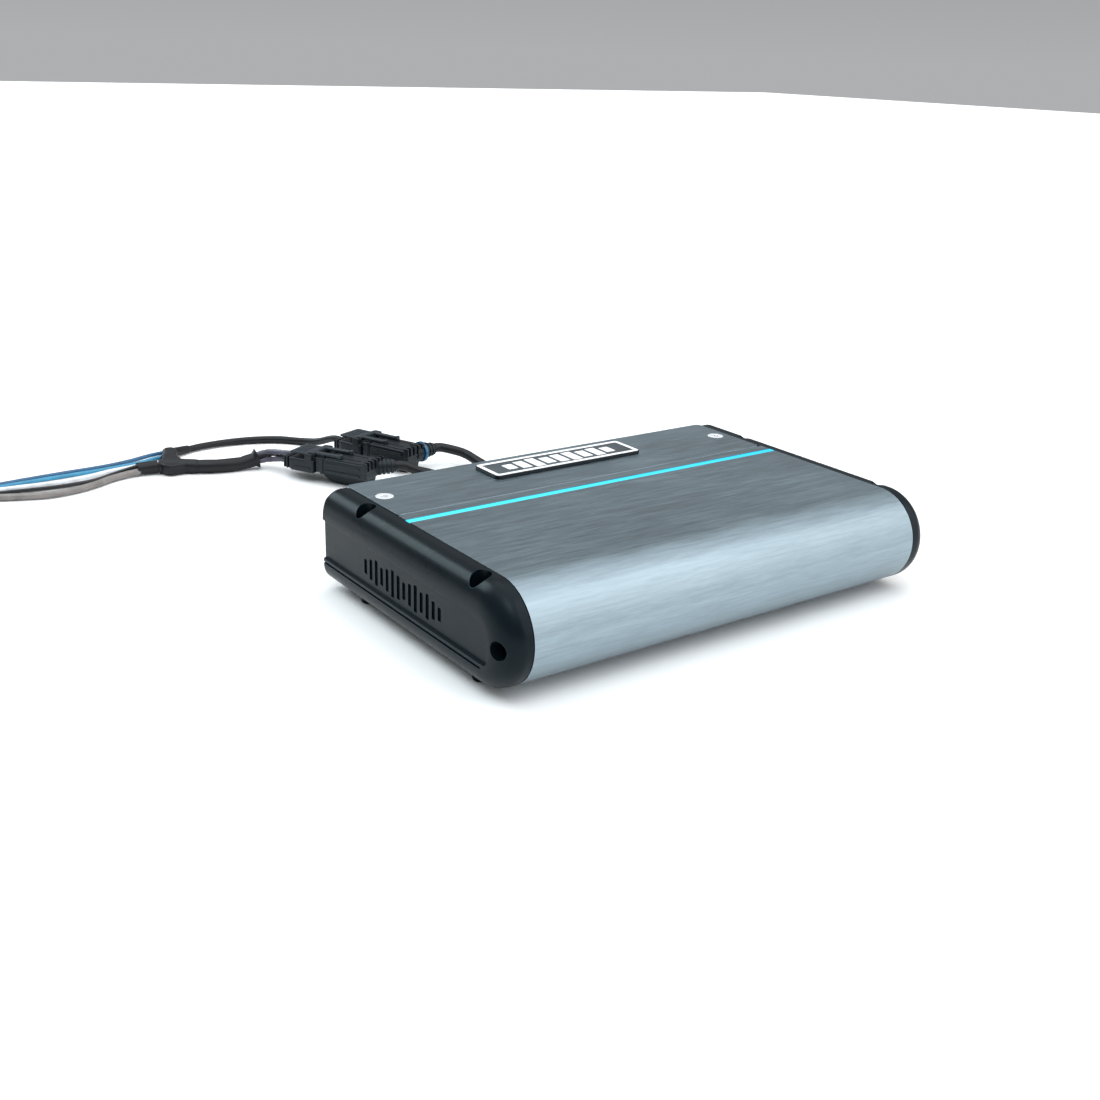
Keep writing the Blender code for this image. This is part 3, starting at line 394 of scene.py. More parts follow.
def turned(profile, centre, axis="Z", steps=64):
    """(radius, height) points turned about an axis; a point on the axis closes the shape there."""
    shape = bmesh.new()
    verts = [shape.verts.new((r, 0, h)) for r, h in profile]
    edges = [shape.edges.new(pair) for pair in zip(verts, verts[1:])]
    if profile[0][0] > 0:
        edges.append(shape.edges.new((verts[-1], verts[0])))
    bmesh.ops.spin(shape, geom=verts + edges, cent=(0, 0, 0), axis=(0, 0, 1), angle=math.tau, steps=steps,
                   use_merge=True)
    bmesh.ops.remove_doubles(shape, verts=shape.verts, dist=0.0005)
    bmesh.ops.transform(shape, matrix=Matrix.Translation(centre) @ AXIS_TURN[axis], verts=shape.verts)
    bmesh.ops.recalc_face_normals(shape, faces=shape.faces)
    return shape


def merged(*shapes):
    """Several shapes as one mesh of separate solids."""
    whole = bmesh.new()
    for shape in shapes:
        mesh = bpy.data.meshes.new("part")
        shape.to_mesh(mesh)
        shape.free()
        whole.from_mesh(mesh)
        bpy.data.meshes.remove(mesh)
    return whole


def moved(shape, matrix):
    bmesh.ops.transform(shape, matrix=matrix, verts=shape.verts)
    return shape


def temporary(shape):
    mesh = bpy.data.meshes.new("temporary")
    shape.to_mesh(mesh)
    shape.free()
    return linked("temporary", mesh)


def evaluated(obj, extra=()):
    """The object's mesh with its modifiers, as a bmesh; the object and its helpers are removed."""
    bpy.context.view_layer.update()
    mesh = bpy.data.meshes.new_from_object(obj.evaluated_get(bpy.context.evaluated_depsgraph_get()))
    shape = bmesh.new()
    shape.from_mesh(mesh)
    bpy.data.meshes.remove(mesh)
    for old in (obj, *extra):
        data = old.data
        bpy.data.objects.remove(old)
        if isinstance(data, bpy.types.Mesh):
            bpy.data.meshes.remove(data)
    return shape


def combined(base, tools, operation="DIFFERENCE"):
    """The base with the tools taken away, or with them joined on."""
    obj = temporary(base)
    helpers = [temporary(tool) for tool in tools]
    for helper in helpers:
        step = obj.modifiers.new("step", "BOOLEAN")
        step.operation = operation
        step.object = helper
    return evaluated(obj, helpers)


def piece(name, shape, material, body="chassis", replaces=(), sharp=32):
    bmesh.ops.scale(shape, vec=(MM, MM, MM), verts=shape.verts)
    mesh = bpy.data.meshes.new(name)
    shape.to_mesh(mesh)
    shape.free()
    obj = linked(name, mesh)
    mesh.materials.append(material)
    mesh.shade_smooth()
    mesh.set_sharp_from_angle(angle=math.radians(sharp))
    weight = obj.modifiers.new("normals", "WEIGHTED_NORMAL")
    weight.keep_sharp = True
    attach(obj, body)
    if replaces:
        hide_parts(*replaces)
    return obj


# ---------------------------------------------------------------- case
def case_outline(inset=0.0, rear_inset=0.0, brow=0.0):
    """The case's section, from the rear top corner over the bullnose and back.

    brow draws in its top and nose more than its underside.
    """
    corner = max(REAR_CORNER - inset, 1.2)
    rear, top, bottom = REAR - rear_inset, TOP - inset * (1 + brow), BOTTOM + inset
    long, tall, middle = NOSE_R - inset * (1 + brow), (top - bottom) / 2, (top + bottom) / 2
    nose = [(NOSE_Y + long * y, middle + tall * z) for y, z in arc((0, 0), 1.0, 90, 270, 72)]
    return [
        *arc((rear - corner, top - corner), corner, 0, 90, 8), *nose,
        *arc((rear - corner, bottom + corner), corner, 270, 360, 8),
    ]


def case_shell():
    """The extrusion: top, bullnose and rear wall, with its strip channel, ledge and lips."""
    chamfer, ledge_low = 0.4, LEDGE_TOP - WALL
    section = [
        (SEAM_Y, TOP - chamfer), (SEAM_Y - chamfer, TOP), *arc((NOSE_Y, MIDDLE), NOSE_R, 90, 270, 72),
        (-44, BOTTOM), (-44, BOTTOM + WALL), *arc((NOSE_Y, MIDDLE), NOSE_R - WALL, 270, 90, 36),
        (SEAM_Y - WALL, TOP - WALL), (SEAM_Y - WALL, ledge_low), (REAR - WALL, ledge_low),
        (REAR - WALL, BOTTOM + WALL), (79, BOTTOM + WALL), (79, BOTTOM),
        *arc((REAR - REAR_CORNER, BOTTOM + REAR_CORNER), REAR_CORNER, 270, 360, 8),
        (REAR, LEDGE_TOP), (SEAM_Y, LEDGE_TOP),
    ]
    shell = prism(section, -SHELL_END, SHELL_END, "YZ")
    tools = [block((-200, STRIP_LOW.y - GAP, 51.5), (200, STRIP_HIGH.y + GAP, 80), 0)]
    long, front, rear = WINDOW
    tools.append(block((-long, front, 40), (long, rear, 60), 0))
    for x in (-COVER_SCREW[0], COVER_SCREW[0]):
        tools.append(rod((x, COVER_SCREW[1], 40), (x, COVER_SCREW[1], 60), 2.2))
    for x in GLAND_X.values():
        tools.append(rod((x, 80, GLAND_Z), (x, 100, GLAND_Z), 6.3))
    shell = combined(shell, tools)
    piece("case_shell", shell, ALUMINIUM, replaces=["heat_sink_shell"])


def recess_outline(grow=0.0):
    """The panel let into a cap: a large front top corner, a small one below, open to the rear."""
    high, low, front = RECESS_HIGH + grow, RECESS_LOW - grow, RECESS_FRONT - grow
    upper, lower = 13.0 + grow, 3.5 + grow
    return [
        (REAR + 8, high), *arc((front + upper, high - upper), upper, 90, 180, 18),
        *arc((front + lower, low + lower), lower, 180, 270, 8), (REAR + 8, low),
    ]


def end_cap(side, name):
    """A moulded cap with a large outer radius, its let-in panel, engraved bars and bores."""
    rim = 0.35
    levels = [(GAP / 2, rim), (GAP / 2 + rim, 0.0)]
    thick = CAP_OUT - HALF_LENGTH
    for k in range(25):
        turn = math.radians(90 * k / 24)
        levels.append((thick - CAP_FILLET * (1 - math.sin(turn)), CAP_FILLET * (1 - math.cos(turn))))
    cap = loft([
        in_plane(case_outline(inset, min(inset, 10.0) * 0.22, BROW), side * (HALF_LENGTH + reach), "YZ")
        for reach, inset in levels])
    floor = CAP_OUT - RECESS_DEPTH
    panel_rings = ((floor, 0.0), (CAP_OUT - 0.5, 0.1), (CAP_OUT - 0.15, 0.25), (CAP_OUT + 0.3, 0.7),
                   (CAP_OUT + 6, 0.7))
    tools = [loft([in_plane(recess_outline(grow), side * x, "YZ") for x, grow in panel_rings])]
    bead = prism([(REAR + 8, 16.5), (REAR + 8, 15.3), (-66, 15.3), (-67.5, 15.9), (-66, 16.5)],
                 *sorted((side * (CAP_OUT - 1.1), side * (CAP_OUT + 4))), "YZ")
    tools.append(bead)
    tools += engraved_bars(side, floor)
    x = side * BORE_X
    for y in BORE_Y:
        tools.append(rod((x, y, BORE_FLOOR), (x, y, 80), BORE_R, sides=64))
        tools.append(rod((x, y, -1), (x, y, 20), BOLT_R, sides=32))
    for y in FOOT_Y:
        tools.append(rod((side * FOOT_X, y, -1), (side * FOOT_X, y, 8.3), SPIGOT_R + GAP, sides=32))
    tools.append(rod((side * 130.0, SCREW_Y, SCREW_Z), (side * 150, SCREW_Y, SCREW_Z), SCREW_BORE_R))
    piece(name + "_moulding", combined(cap, tools), CAP_PLASTIC, replaces=[name],
          sharp=28)


def engraved_bars(side, floor):
    """Cutters for a plain level-meter pattern of upright bars."""
    heights = (8.0, 11.0, 13.5, 9.5, 12.0, 14.5, 12.5, 9.0, 11.5, 14.0, 10.5, 13.0, 9.5, 7.0)
    start, pitch, width, depth, middle = 42.5, -5.5, 3.0, 1.2, 27.6
    bars = []
    for k, height in enumerate(heights):
        y = start + pitch * k
        low, high = (y - width / 2, middle - height / 2), (y + width / 2, middle + height / 2)
        outline = rounded_rectangle(low, high, 0.6, 4)
        bars.append(prism(outline, *sorted((side * (floor - depth), side * (floor + 0.5))), "YZ"))
    return bars


def socket_screw(name, centre, axis, head_r, head_t, recess, material, body, countersunk):
    """A screw's head with a hexagon socket; its seat faces into the case."""
    edge = 0.35
    if countersunk:
        profile = [(0, -5.0), (1.8, -5.0), (1.8, -head_t), (head_r, -0.45), (head_r, -0.15),
                   (head_r - edge, 0.0), (0, 0)]
    else:
        profile = [(0, -head_t - 3), (1.8, -head_t - 3), (1.8, -head_t), (head_r, -head_t), (head_r, -edge),
                   (head_r - edge, 0), (0, 0)]
    head = turned(profile, (0, 0, 0))
    socket = [(recess * math.cos(math.radians(60 * k + 10)), recess * math.sin(math.radians(60 * k + 10)))
              for k in range(6)]
    flare = [(u * 1.12, v * 1.12) for u, v in socket]
    tool = loft([in_plane(socket, -2.6), in_plane(socket, -0.15), in_plane(flare, 0.1), in_plane(flare, 1.0)])
    head = combined(head, [tool])
    moved(head, Matrix.Translation(centre) @ AXIS_TURN[axis])
    piece(name + "_head", head, material, body, [name])


def foot(name):
    """A solid rubber foot with a rounded tread and one moulded ring, on a spigot."""
    low, high = box_mm(name)
    centre = (low + high) / 2
    radius = (high.x - low.x) / 2
    profile = [(0, 8.0), (2.0, 8.0), (SPIGOT_R, 7.6), (SPIGOT_R, 3.8), (radius - 0.4, 3.7), (radius, 3.3),
               (radius, 2.4), (radius - 0.3, 2.1), (radius, 1.8), (radius, 1.0), (radius - 0.3, 0.3),
               (radius - 0.8, 0.0), (0, 0.0)]
    piece(name + "_rubber", turned(profile, (centre.x, centre.y, 0)), RUBBER, replaces=[name])


def light_strip():
    front, rear, high, edge = STRIP_LOW.y, STRIP_HIGH.y, STRIP_HIGH.z, 0.5
    profile = [(front, STRIP_LOW.z), *reversed(arc((front + edge, high - edge), edge, 90, 180, 5)),
               *reversed(arc((rear - edge, high - edge), edge, 0, 90, 5)), (rear, STRIP_LOW.z)]
    piece("light_pipe_bar", prism(profile, STRIP_LOW.x, STRIP_HIGH.x, "YZ"), LIT, replaces=["led_light_pipe"])


def access_cover():
    low, high = box_mm("access_cover")
    radius, edge = 3.0, 0.55
    levels = ((low.z, edge), (low.z + edge, 0), (high.z - edge, 0), (high.z - 0.13, 0.13), (high.z, edge))
    rings = [in_plane(inset_rectangle(low, high, inset, radius - inset), level) for level, inset in levels]
    tools = []
    for x in (-COVER_SCREW[0], COVER_SCREW[0]):
        sink = [(0, -6), (2.2, -6), (2.2, -2.4), (5.0, -0.3), (5.15, 0.6), (0, 0.6)]
        tools.append(turned(sink, (x, COVER_SCREW[1], high.z)))
    piece("cover_plate", combined(loft(rings), tools), ALUMINIUM, "cover", ["access_cover"])


def badge():
    """A black plate with a bright rim, a dark field and a plain level-meter pattern."""
    low, high = box_mm("badge_plate")
    top, edge = high.z, 0.3
    rings = [in_plane(inset_rectangle(low, high, inset, BADGE_CORNER - inset), level)
             for level, inset in ((low.z, 0), (top - edge, 0), (top - 0.09, 0.09), (top, edge))]
    body = combined(loft(rings), [badge_ring(low, high, 3.1, top - 0.35, top + 2)])
    piece("badge_body", body, BADGE_BLACK, "cover", ["badge_plate"])
    rim = combined(badge_ring(low, high, 0.5, top - 0.3, top + 0.12),
                   [badge_ring(low, high, 3.0, top - 2, top + 2)])
    piece("badge_rim", rim, BADGE_RIM, "cover")
    field = badge_ring(low, high, 3.15, top - 0.34, top - 0.18)
    piece("badge_field", field, BADGE_FIELD, "cover")
    heights = (8.0, 11.5, 14.0, 10.0, 12.5, 14.0, 10.5, 13.0, 8.5)
    pitch, width = 8.6, 6.2
    centre = (low + high) / 2
    bars = []
    for k, height in enumerate(heights):
        x = centre.x + pitch * (k - (len(heights) - 1) / 2)
        half = height / 2
        bars.append(block((x - width / 2, centre.y - half, top - 0.3),
                          (x + width / 2, centre.y + half, top + 0.05), 0.12))
    piece("badge_bars", merged(*bars), BADGE_RIM, "cover")


def badge_ring(low, high, inset, bottom, top):
    outline = inset_rectangle(low, high, inset, max(0.6, BADGE_CORNER - inset * 0.6))
    return prism(outline, bottom, top)


# ---------------------------------------------------------------- controls under the cover
def knob(name):
    """A knurled skirt, a domed top and a pointer slot."""
    low, high = box_mm(name)
    x = (low.x + high.x) / 2
    teeth = 36
    outline = []
    for k in range(teeth * 4):
        a = math.tau * k / (teeth * 4)
        r = 6.75 + 0.25 * (1 if k % 4 in (0, 1) else -1)
        outline.append((x + r * math.cos(a), CONTROL_Y + r * math.sin(a)))
    centre = Vector((x, CONTROL_Y))

    def shrunk(share):
        return [tuple(centre + (Vector(p) - centre) * share) for p in outline]
    dome = ((42.0, 1.0), (46.5, 0.97), (47.6, 0.9), (48.3, 0.8), (48.5, 0.7))
    skirt = loft([in_plane(shrunk(share), z) for z, share in dome])
    shaft = rod((x, CONTROL_Y, low.z), (x, CONTROL_Y, 43), 2.8)
    slot = block((x - 0.6, CONTROL_Y, 47.3), (x + 0.6, CONTROL_Y + 9, 60), 0.1)
    body = combined(skirt, [slot])
    piece(name + "_skirt", merged(body, shaft), BLACK_PLASTIC, name, [name])
    mark = block((x - 0.45, CONTROL_Y + 0.4, 47.2), (x + 0.45, CONTROL_Y + 5.6, 47.5), 0.08)
    piece(name + "_mark", mark, WHITE, name)


def switch(name):
    low, high = box_mm(name)
    grips = [block((low.x + 0.5 + 0.8 * k, low.y + 0.3, high.z - 0.2),
                   (low.x + 0.9 + 0.8 * k, high.y - 0.3, high.z), 0.08) for k in range(3)]
    lever = block(low, (high.x, high.y, high.z - 0.15), 0.35)
    piece(name + "_lever", merged(lever, *grips), BLACK_PLASTIC, name, [name])


def dial_marks():
    """Plain tick marks round each knob and beside each switch, printed on the well's floor."""
    ticks = []
    for name in KNOBS:
        low, high = box_mm(name)
        centre = Vector(((low.x + high.x) / 2, CONTROL_Y, WELL_FLOOR))
        for k in range(11):
            turn = Matrix.Translation(centre) @ Matrix.Rotation(math.radians(140 - 28 * k), 4, "Z")
            ticks.append(moved(block((-0.25, 8.2, 0), (0.25, 10.4 if k % 5 == 0 else 9.6, 0.06), 0), turn))
    for name in SWITCHES:
        low, high = box_mm(name)
        x = (low.x + high.x) / 2
        for step in (-3, 0, 3):
            ticks.append(block((x + step - 0.25, CONTROL_Y + 3, WELL_FLOOR),
                               (x + step + 0.25, CONTROL_Y + 4.4, WELL_FLOOR + 0.06), 0))
    piece("dial_marks", merged(*ticks), WHITE)


# ---------------------------------------------------------------- harness
def smooth_curve(route, spacing):
    """Points about spacing apart on a Catmull-Rom curve through the route."""
    points = [Vector(p) for p in route]
    ends = [2 * points[0] - points[1], *points, 2 * points[-1] - points[-2]]
    fine = [points[0]]
    for a, b, c, d in zip(ends, ends[1:], ends[2:], ends[3:]):
        for k in range(1, 13):
            t = k / 12
            fine.append(0.5 * (2 * b + (c - a) * t + (2 * a - 5 * b + 4 * c - d) * t**2
                               + (3 * b - a - 3 * c + d) * t**3))
    lengths = [0.0]
    for p, q in zip(fine, fine[1:]):
        lengths.append(lengths[-1] + (q - p).length)
    count = max(3, round(lengths[-1] / spacing))
    even, k = [], 0
    for step in range(count + 1):
        target = lengths[-1] * step / count
        while k < len(lengths) - 2 and lengths[k + 1] < target:
            k += 1
        share = (target - lengths[k]) / max(lengths[k + 1] - lengths[k], 1e-6)
        even.append(fine[k].lerp(fine[k + 1], share))
    return even, lengths[-1]


def round_curve(name, points, diameter, swell, sides, unit):
    """A curve object with a round section; swell gives its radius factor along it."""
    curve = bpy.data.curves.new(name, "CURVE")
    curve.dimensions = "3D"
    curve.bevel_depth = diameter / 2 * unit
    curve.bevel_resolution = sides
    curve.use_fill_caps = True
    spline = curve.splines.new("POLY")
    spline.points.add(len(points) - 1)
    for k, (point, place) in enumerate(zip(spline.points, points)):
        point.co = (*(place * unit), 1.0)
        point.radius = swell(k / (len(points) - 1)) if swell else 1.0
    return linked(name, curve)


def strand(name, route, diameter, material, swell=None, sides=8, spacing=None):
    """A round cord in the scene, with its start and its length in metres."""
    points, length = smooth_curve(route, spacing or max(1.2, diameter * 0.6))
    obj = round_curve(name, points, diameter, swell, sides, MM)
    obj.data.materials.append(material)
    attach(obj, "chassis")
    return obj, points[0] * MM, length * MM


def declare_cord(nodes):
    """Hides the CAD nodes that a strand stands in for."""
    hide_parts(*nodes)


def tube_shape(route, diameter, swell=None, spacing=None):
    """The same cord as a bmesh, in millimetres."""
    points, _ = smooth_curve(route, spacing or max(1.0, diameter * 0.3))
    obj = round_curve("tube", points, diameter, swell, 8, 1.0)
    curve = obj.data
    shape = evaluated(obj)
    bpy.data.curves.remove(curve)
    bmesh.ops.remove_doubles(shape, verts=shape.verts, dist=0.0005)
    return shape


def connector_place(connector):
    (x, y), turn, _ = CONNECTORS[connector]
    return Matrix.Translation((x, y, 0)) @ Matrix.Rotation(math.radians(turn), 4, "Z")


def cable_exit(connector):
    heading = math.radians(CONNECTORS[connector][2])
    direction = Vector((math.cos(heading), math.sin(heading), 0))
    start = connector_place(connector) @ Vector((5.0, 5.0, 12.5))
    return start, direction


def header(connector):
    """The amplifier's half: a keyed shroud with a castellated end, a keel and a ribbed cable boot."""
    name = f"{connector}_connector_header"
    shell = block((-11, 0, 7.5), (11, 40, 17.5), 1.1)
    step = block((-9.2, 3.0, 16.5), (9.2, 33, 18.2), 0.7)
    collar = block((-11.7, 33.5, 7.0), (11.7, 36.0, 18.1), 0.6)
    crown = block((-11.2, -0.4, 12.5), (11.2, 3.4, 19.4), 0.7)
    belly = [(2.0, 8.5), (3.0, 3.0), (6.0, 0.5), (9, 0.0), (28, 0.0), (33, 1.2), (37.5, 4.5), (39.0, 8.5)]
    keel = prism(belly, -4.6, 4.6, "YZ")
    rails = [block((x - 0.7, 5, low), (x + 0.7, 32, high), 0.4)
             for low, high in ((8.8, 10.6), (13.6, 15.4)) for x in (-11, 11)]
    tools = [block((-9, 14, 9.5), (9, 45, 15.5), 0.5)]
    for k in range(5):
        x = -8.6 + 4.3 * k
        tools.append(block((x - 1.1, -2, 13.6), (x + 1.1, 4.2, 22), 0.3))
    for x in (-4.6, 4.6):
        tools.append(block((x - 0.5, 8, 17.7), (x + 0.5, 30, 19), 0.2))
    body = combined(combined(shell, [step, collar, crown, keel, *rails], "UNION"), tools)
    place = connector_place(connector)
    moved(body, place)
    start, direction = cable_exit(connector)
    ridge = [(0, -3.0), (6.6, -3.0), (6.8, 0.0)]
    for k in range(5):
        at = 1.0 + 2.8 * k
        radius = 5.9 - 0.28 * k
        ridge += [(radius, at), (radius, at + 1.5), (radius - 0.9, at + 1.9), (radius - 0.9, at + 2.6)]
    ridge += [(4.3, 15.0), (0, 15.0)]
    boot = moved(turned(ridge, (0, 0, 0)), Matrix.Translation(start) @ aimed(direction))
    if connector == "back":
        seal = turned([(0, 0.2), (6.9, 0.2), (7.1, 0.5), (7.1, 2.3), (6.8, 2.6), (0, 2.6)], (0, 0, 0))
        moved(seal, Matrix.Translation(start + 3.2 * direction) @ aimed(direction))
        piece(name + "_seal", seal, BLUE)
    return piece(name + "_shroud", merged(body, boot), CONNECTOR, replaces=[name])


def plug(connector):
    """The harness half: a wide body behind the shroud, latch posts and a ribbed collar."""
    name = f"{connector}_connector_plug"
    body = block((-13, 40.3, 6.5), (13, 59, 15.4), 1.4)
    nose = block((-8.7, 15, 9.8), (8.7, 42, 15.2), 0.4)
    shoulder = block((-11.8, 56, 6.9), (11.8, 61.0, 15.0), 1.0)
    ribs = [block((-w, y, 7.0 + k * 0.2), (w, y + 1.5, 15.0 - k * 0.3), 0.5)
            for k, (y, w) in enumerate(((61.8, 11.6), (64.2, 11.0)))]
    neck = block((-9.6, 59, 7.8), (9.6, 65.8, 14.0), 0.8)
    posts = [block((x - 1.2, 41.6, 13), (x + 1.2, 47.2, 19.6), 0.5) for x in (-11.8, 11.8)]
    sides = [block((x - 0.6, 43, 8.6), (x + 0.6, 55, 10.4), 0.4) for x in (-13, 13)]
    whole = combined(body, [nose, shoulder, neck, *ribs, *posts, *sides], "UNION")
    return piece(name + "_housing", moved(whole, connector_place(connector)), CONNECTOR, replaces=[name])


def latch(connector):
    """A rocking lever: a cross bar, two hooked arms over the header and a ridged thumb plate."""
    name = f"{connector}_connector_latch"
    bar = block((-10.2, 41.8, 17.2), (10.2, 46.2, 20.6), 1.0)
    thumb = block((-9.8, 44, 17.5), (9.8, 61, 19.1), 0.75)
    arms = [block((x - 1.9, 21.5, 18.5), (x + 1.9, 43.5, 20.3), 0.6) for x in (-6.3, 6.3)]
    hooks = [block((x - 1.9, 21.5, 18.2), (x + 1.9, 23.6, 20.9), 0.5) for x in (-6.3, 6.3)]
    grips = [block((-7.6, y, 18.7), (7.6, y + 1.0, 19.5), 0.35) for y in (51.5, 54.3, 57.1)]
    whole = combined(bar, [thumb, *arms, *hooks, *grips], "UNION")
    # The latch takes the lighter nylon copy: a painted highlight on the top piece.
    return piece(name + "_rocker", moved(whole, connector_place(connector)), CONNECTOR_LIT_COPY,
                 f"{connector}_latch", [name])


def gland(connector):
    """A hexagonal body, a ribbed dome nut and a tapered relief round the cable."""
    name = f"{connector}_cable_gland"
    x = GLAND_X[connector]
    hexagon = [(x + 10.2 * math.cos(math.radians(60 * k)), GLAND_Z + 10.2 * math.sin(math.radians(60 * k)))
               for k in range(6)]
    body = combined(prism(hexagon, REAR + GAP, REAR + 4.6, "XZ"),
                    [rod((x, REAR - 1, GLAND_Z), (x, REAR + 9, GLAND_Z), 3.4)])
    dome = [(3.4, 4.8), (9.3, 4.8), (9.5, 5.2), (9.5, 8.6), (8.6, 9.8), (6.4, 11.2), (5.4, 13.0), (4.9, 17.5),
            (4.5, 21.6), (4.2, 22.0), (3.35, 22.0)]
    nut = turned(dome, (x, REAR, GLAND_Z), "Y", 48)
    grips = []
    for k in range(12):
        a = math.tau * k / 12
        grips.append(rod((x + 9.5 * math.cos(a), REAR + 5.2, GLAND_Z + 9.5 * math.sin(a)),
                         (x + 9.5 * math.cos(a), REAR + 8.4, GLAND_Z + 9.5 * math.sin(a)), 0.8, sides=12))
    return piece(name + "_body", merged(body, nut, *grips), CONNECTOR, replaces=[name])


def point_on(connector, across, along, height):
    return connector_place(connector) @ Vector((across, along, height))


def pigtails(ends):
    """The two cables from the glands; ends, the pieces on each of them, is not used."""
    end = REAR + 22.3
    routes = {
        "back": [(39, 244, 11), (46, 239, 8.5), (49.5, 230, 5.5), (51, 218, 3.8), (52.5, 200, 3.35),
                 (54.5, 175, 3.35), (56, 152, 4.2), (56, 136, 9), (56, 124, 15.5), (56, 116, 19),
                 (56, end - 6, GLAND_Z)],
        "front": [(-4, 219.5, 9), (4, 213.5, 7), (11.5, 204.5, 5), (17, 192, 3.8), (21, 175, 3.35),
                  (23.5, 158, 3.35), (24, 148, 4.5), (24, 135, 9.5), (24, 124, 15.5), (24, 116, 19),
                  (24, end - 6, GLAND_Z)],
    }
    for connector, route in routes.items():
        start, direction = cable_exit(connector)
        name = f"{connector}_pigtail"
        whole = [start + 14.6 * direction, start + 21 * direction, *route]
        cable = strand(name + "_cable", whole[::-1], 6.5, SHEATH)
        declare_cord([name])


def leads_and_looms():
    """Four short leads from the front plug into a flared cuff, then the two looms."""
    tail = point_on("front", 0, 65, 11)
    out = (point_on("front", 0, 1, 0) - point_on("front", 0, 0, 0)).normalized()
    across = Vector((out.y, -out.x, 0))
    lay = ((-3.4, 1.0, 1.0), (-0.6, 3.4, -1.2), (2.8, 1.4, 1.6), (0.6, -2.6, -1.0))
    for k, (side, lift, twist) in enumerate(lay):
        start = tail + side * across + Vector((0, 0, lift * 0.8))
        middle = Vector((-73.5, 301.5, 8.4 + lift * 0.9)) + (twist - 0.6 * side) * across
        end = Vector((-83.0, 304.8, 6.6 + lift * 0.8)) - side * 0.7 * across
        route = [start, start + 5 * out + 0.8 * twist * across, middle, end]
        # Every other lead takes the lilac-grey copy: painted sheen on the dark bundle.
        obj, _, _ = strand(f"connector_lead_{k + 1}", route, 3.7, (SHEATH, LEAD_LIT_COPY)[k % 2], sides=6,
                           swell=lambda t, k=k: 1.0 + 0.07 * math.sin(37 * t + k))
        if k == 0:
            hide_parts("connector_leads")
    cuff_start, cuff_end = Vector((-81.6, 304.4, 6.9)), Vector((-90.5, 305.6, 5.0))
    cuff = tube_shape([cuff_start, cuff_start.lerp(cuff_end, 0.25), cuff_start.lerp(cuff_end, 0.6), cuff_end],
                      9.2, swell=lambda t: 1.0 + 0.5 * max(0.0, 1 - 3.2 * t) ** 1.5, spacing=0.6)
    piece("loom_cuff", cuff, SHEATH)
    lower = [(-82.6, 304.7, 6.2), (-90, 305.5, 4.9), (-100, 306.5, 4.6), (-110, 309, 4.6), (-120, 314, 4.6),
             (-126, 317.8, 4.6), (-133, 322.5, 4.6)]
    sleeve = strand("lower_loom_sleeve", lower, 9.0, SHEATH, lambda t: 1.0 + 0.02 * math.sin(23 * t))
    boot = loom_boot()
    declare_cord(["lower_loom"])
    upper_start = point_on("back", 0, 65.6, 11)
    back_out = (point_on("back", 0, 1, 0) - point_on("back", 0, 0, 0)).normalized()
    upper = [upper_start, upper_start + 10 * back_out, (-24, 327, 5), (-31, 341, 2.6), (-43, 353, 2.6),
             (-60, 361, 2.6), (-79, 364.5, 2.6), (-97, 364, 2.6), (-112, 360, 2.6), (-124, 354.2, 3.2),
             (-130, 351, 3.6)]
    sleeve = strand("upper_loom_sleeve", upper, 5.0, SHEATH,
                    lambda t: 0.92 + 0.14 * math.sin(math.pi * min(1.0, t * 1.4)))
    declare_cord(["upper_loom"])


def loom_boot():
    """The shrunk join of the two looms: three tubes melted together, then the tail sleeve."""
    web = [(-139.5, 314), (-142.6, 319), (-142.6, 326), (-138, 333), (-132.4, 345), (-127.4, 356.5),
           (-123, 357), (-120.5, 352), (-122.4, 346), (-126.2, 337), (-126.6, 322), (-129, 314)]
    arms = [
        tube_shape([(-120, 313.6, 4.6), (-127, 318.2, 4.8), (-135, 322.6, 4.9), (-143, 326.2, 4.8)], 9.8),
        tube_shape([(-108, 361.3, 2.9), (-116, 358.4, 3.3), (-123, 354.4, 4.0), (-128, 348.5, 4.4),
                    (-133, 339, 4.7)], 5.6, swell=lambda t: 1.0 + 0.45 * t),
        tube_shape([(-120, 355, 3.7), (-124, 356.6, 3.6), (-128.4, 357.2, 3.5)], 7.0,
                   swell=lambda t: 1.0 - 0.08 * t),
        prism(web, 1.2, 8.0),
    ]
    obj = temporary(merged(*arms))
    melt = obj.modifiers.new("melt", "REMESH")
    melt.mode = "VOXEL"
    melt.voxel_size = 0.55
    relax = obj.modifiers.new("relax", "SMOOTH")
    relax.factor = 0.6
    relax.iterations = 16
    shape = evaluated(obj)
    for v in shape.verts:
        v.co.z = max(v.co.z, 0.05)
    boot = piece("loom_boot_shrink", shape, SHEATH, replaces=["loom_boot"], sharp=80)
    tail = tube_shape([(-143.5, 326.2, 4.7), (-148, 327.2, 4.6), (-152, 327.8, 4.6), (-157.0, 328.4, 4.6)],
                      8.7, swell=lambda t: 1.0 - 0.05 * t, spacing=0.8)
    piece("tail_sleeve", tail, SHEATH, replaces=["tail_loom"])
    return boot


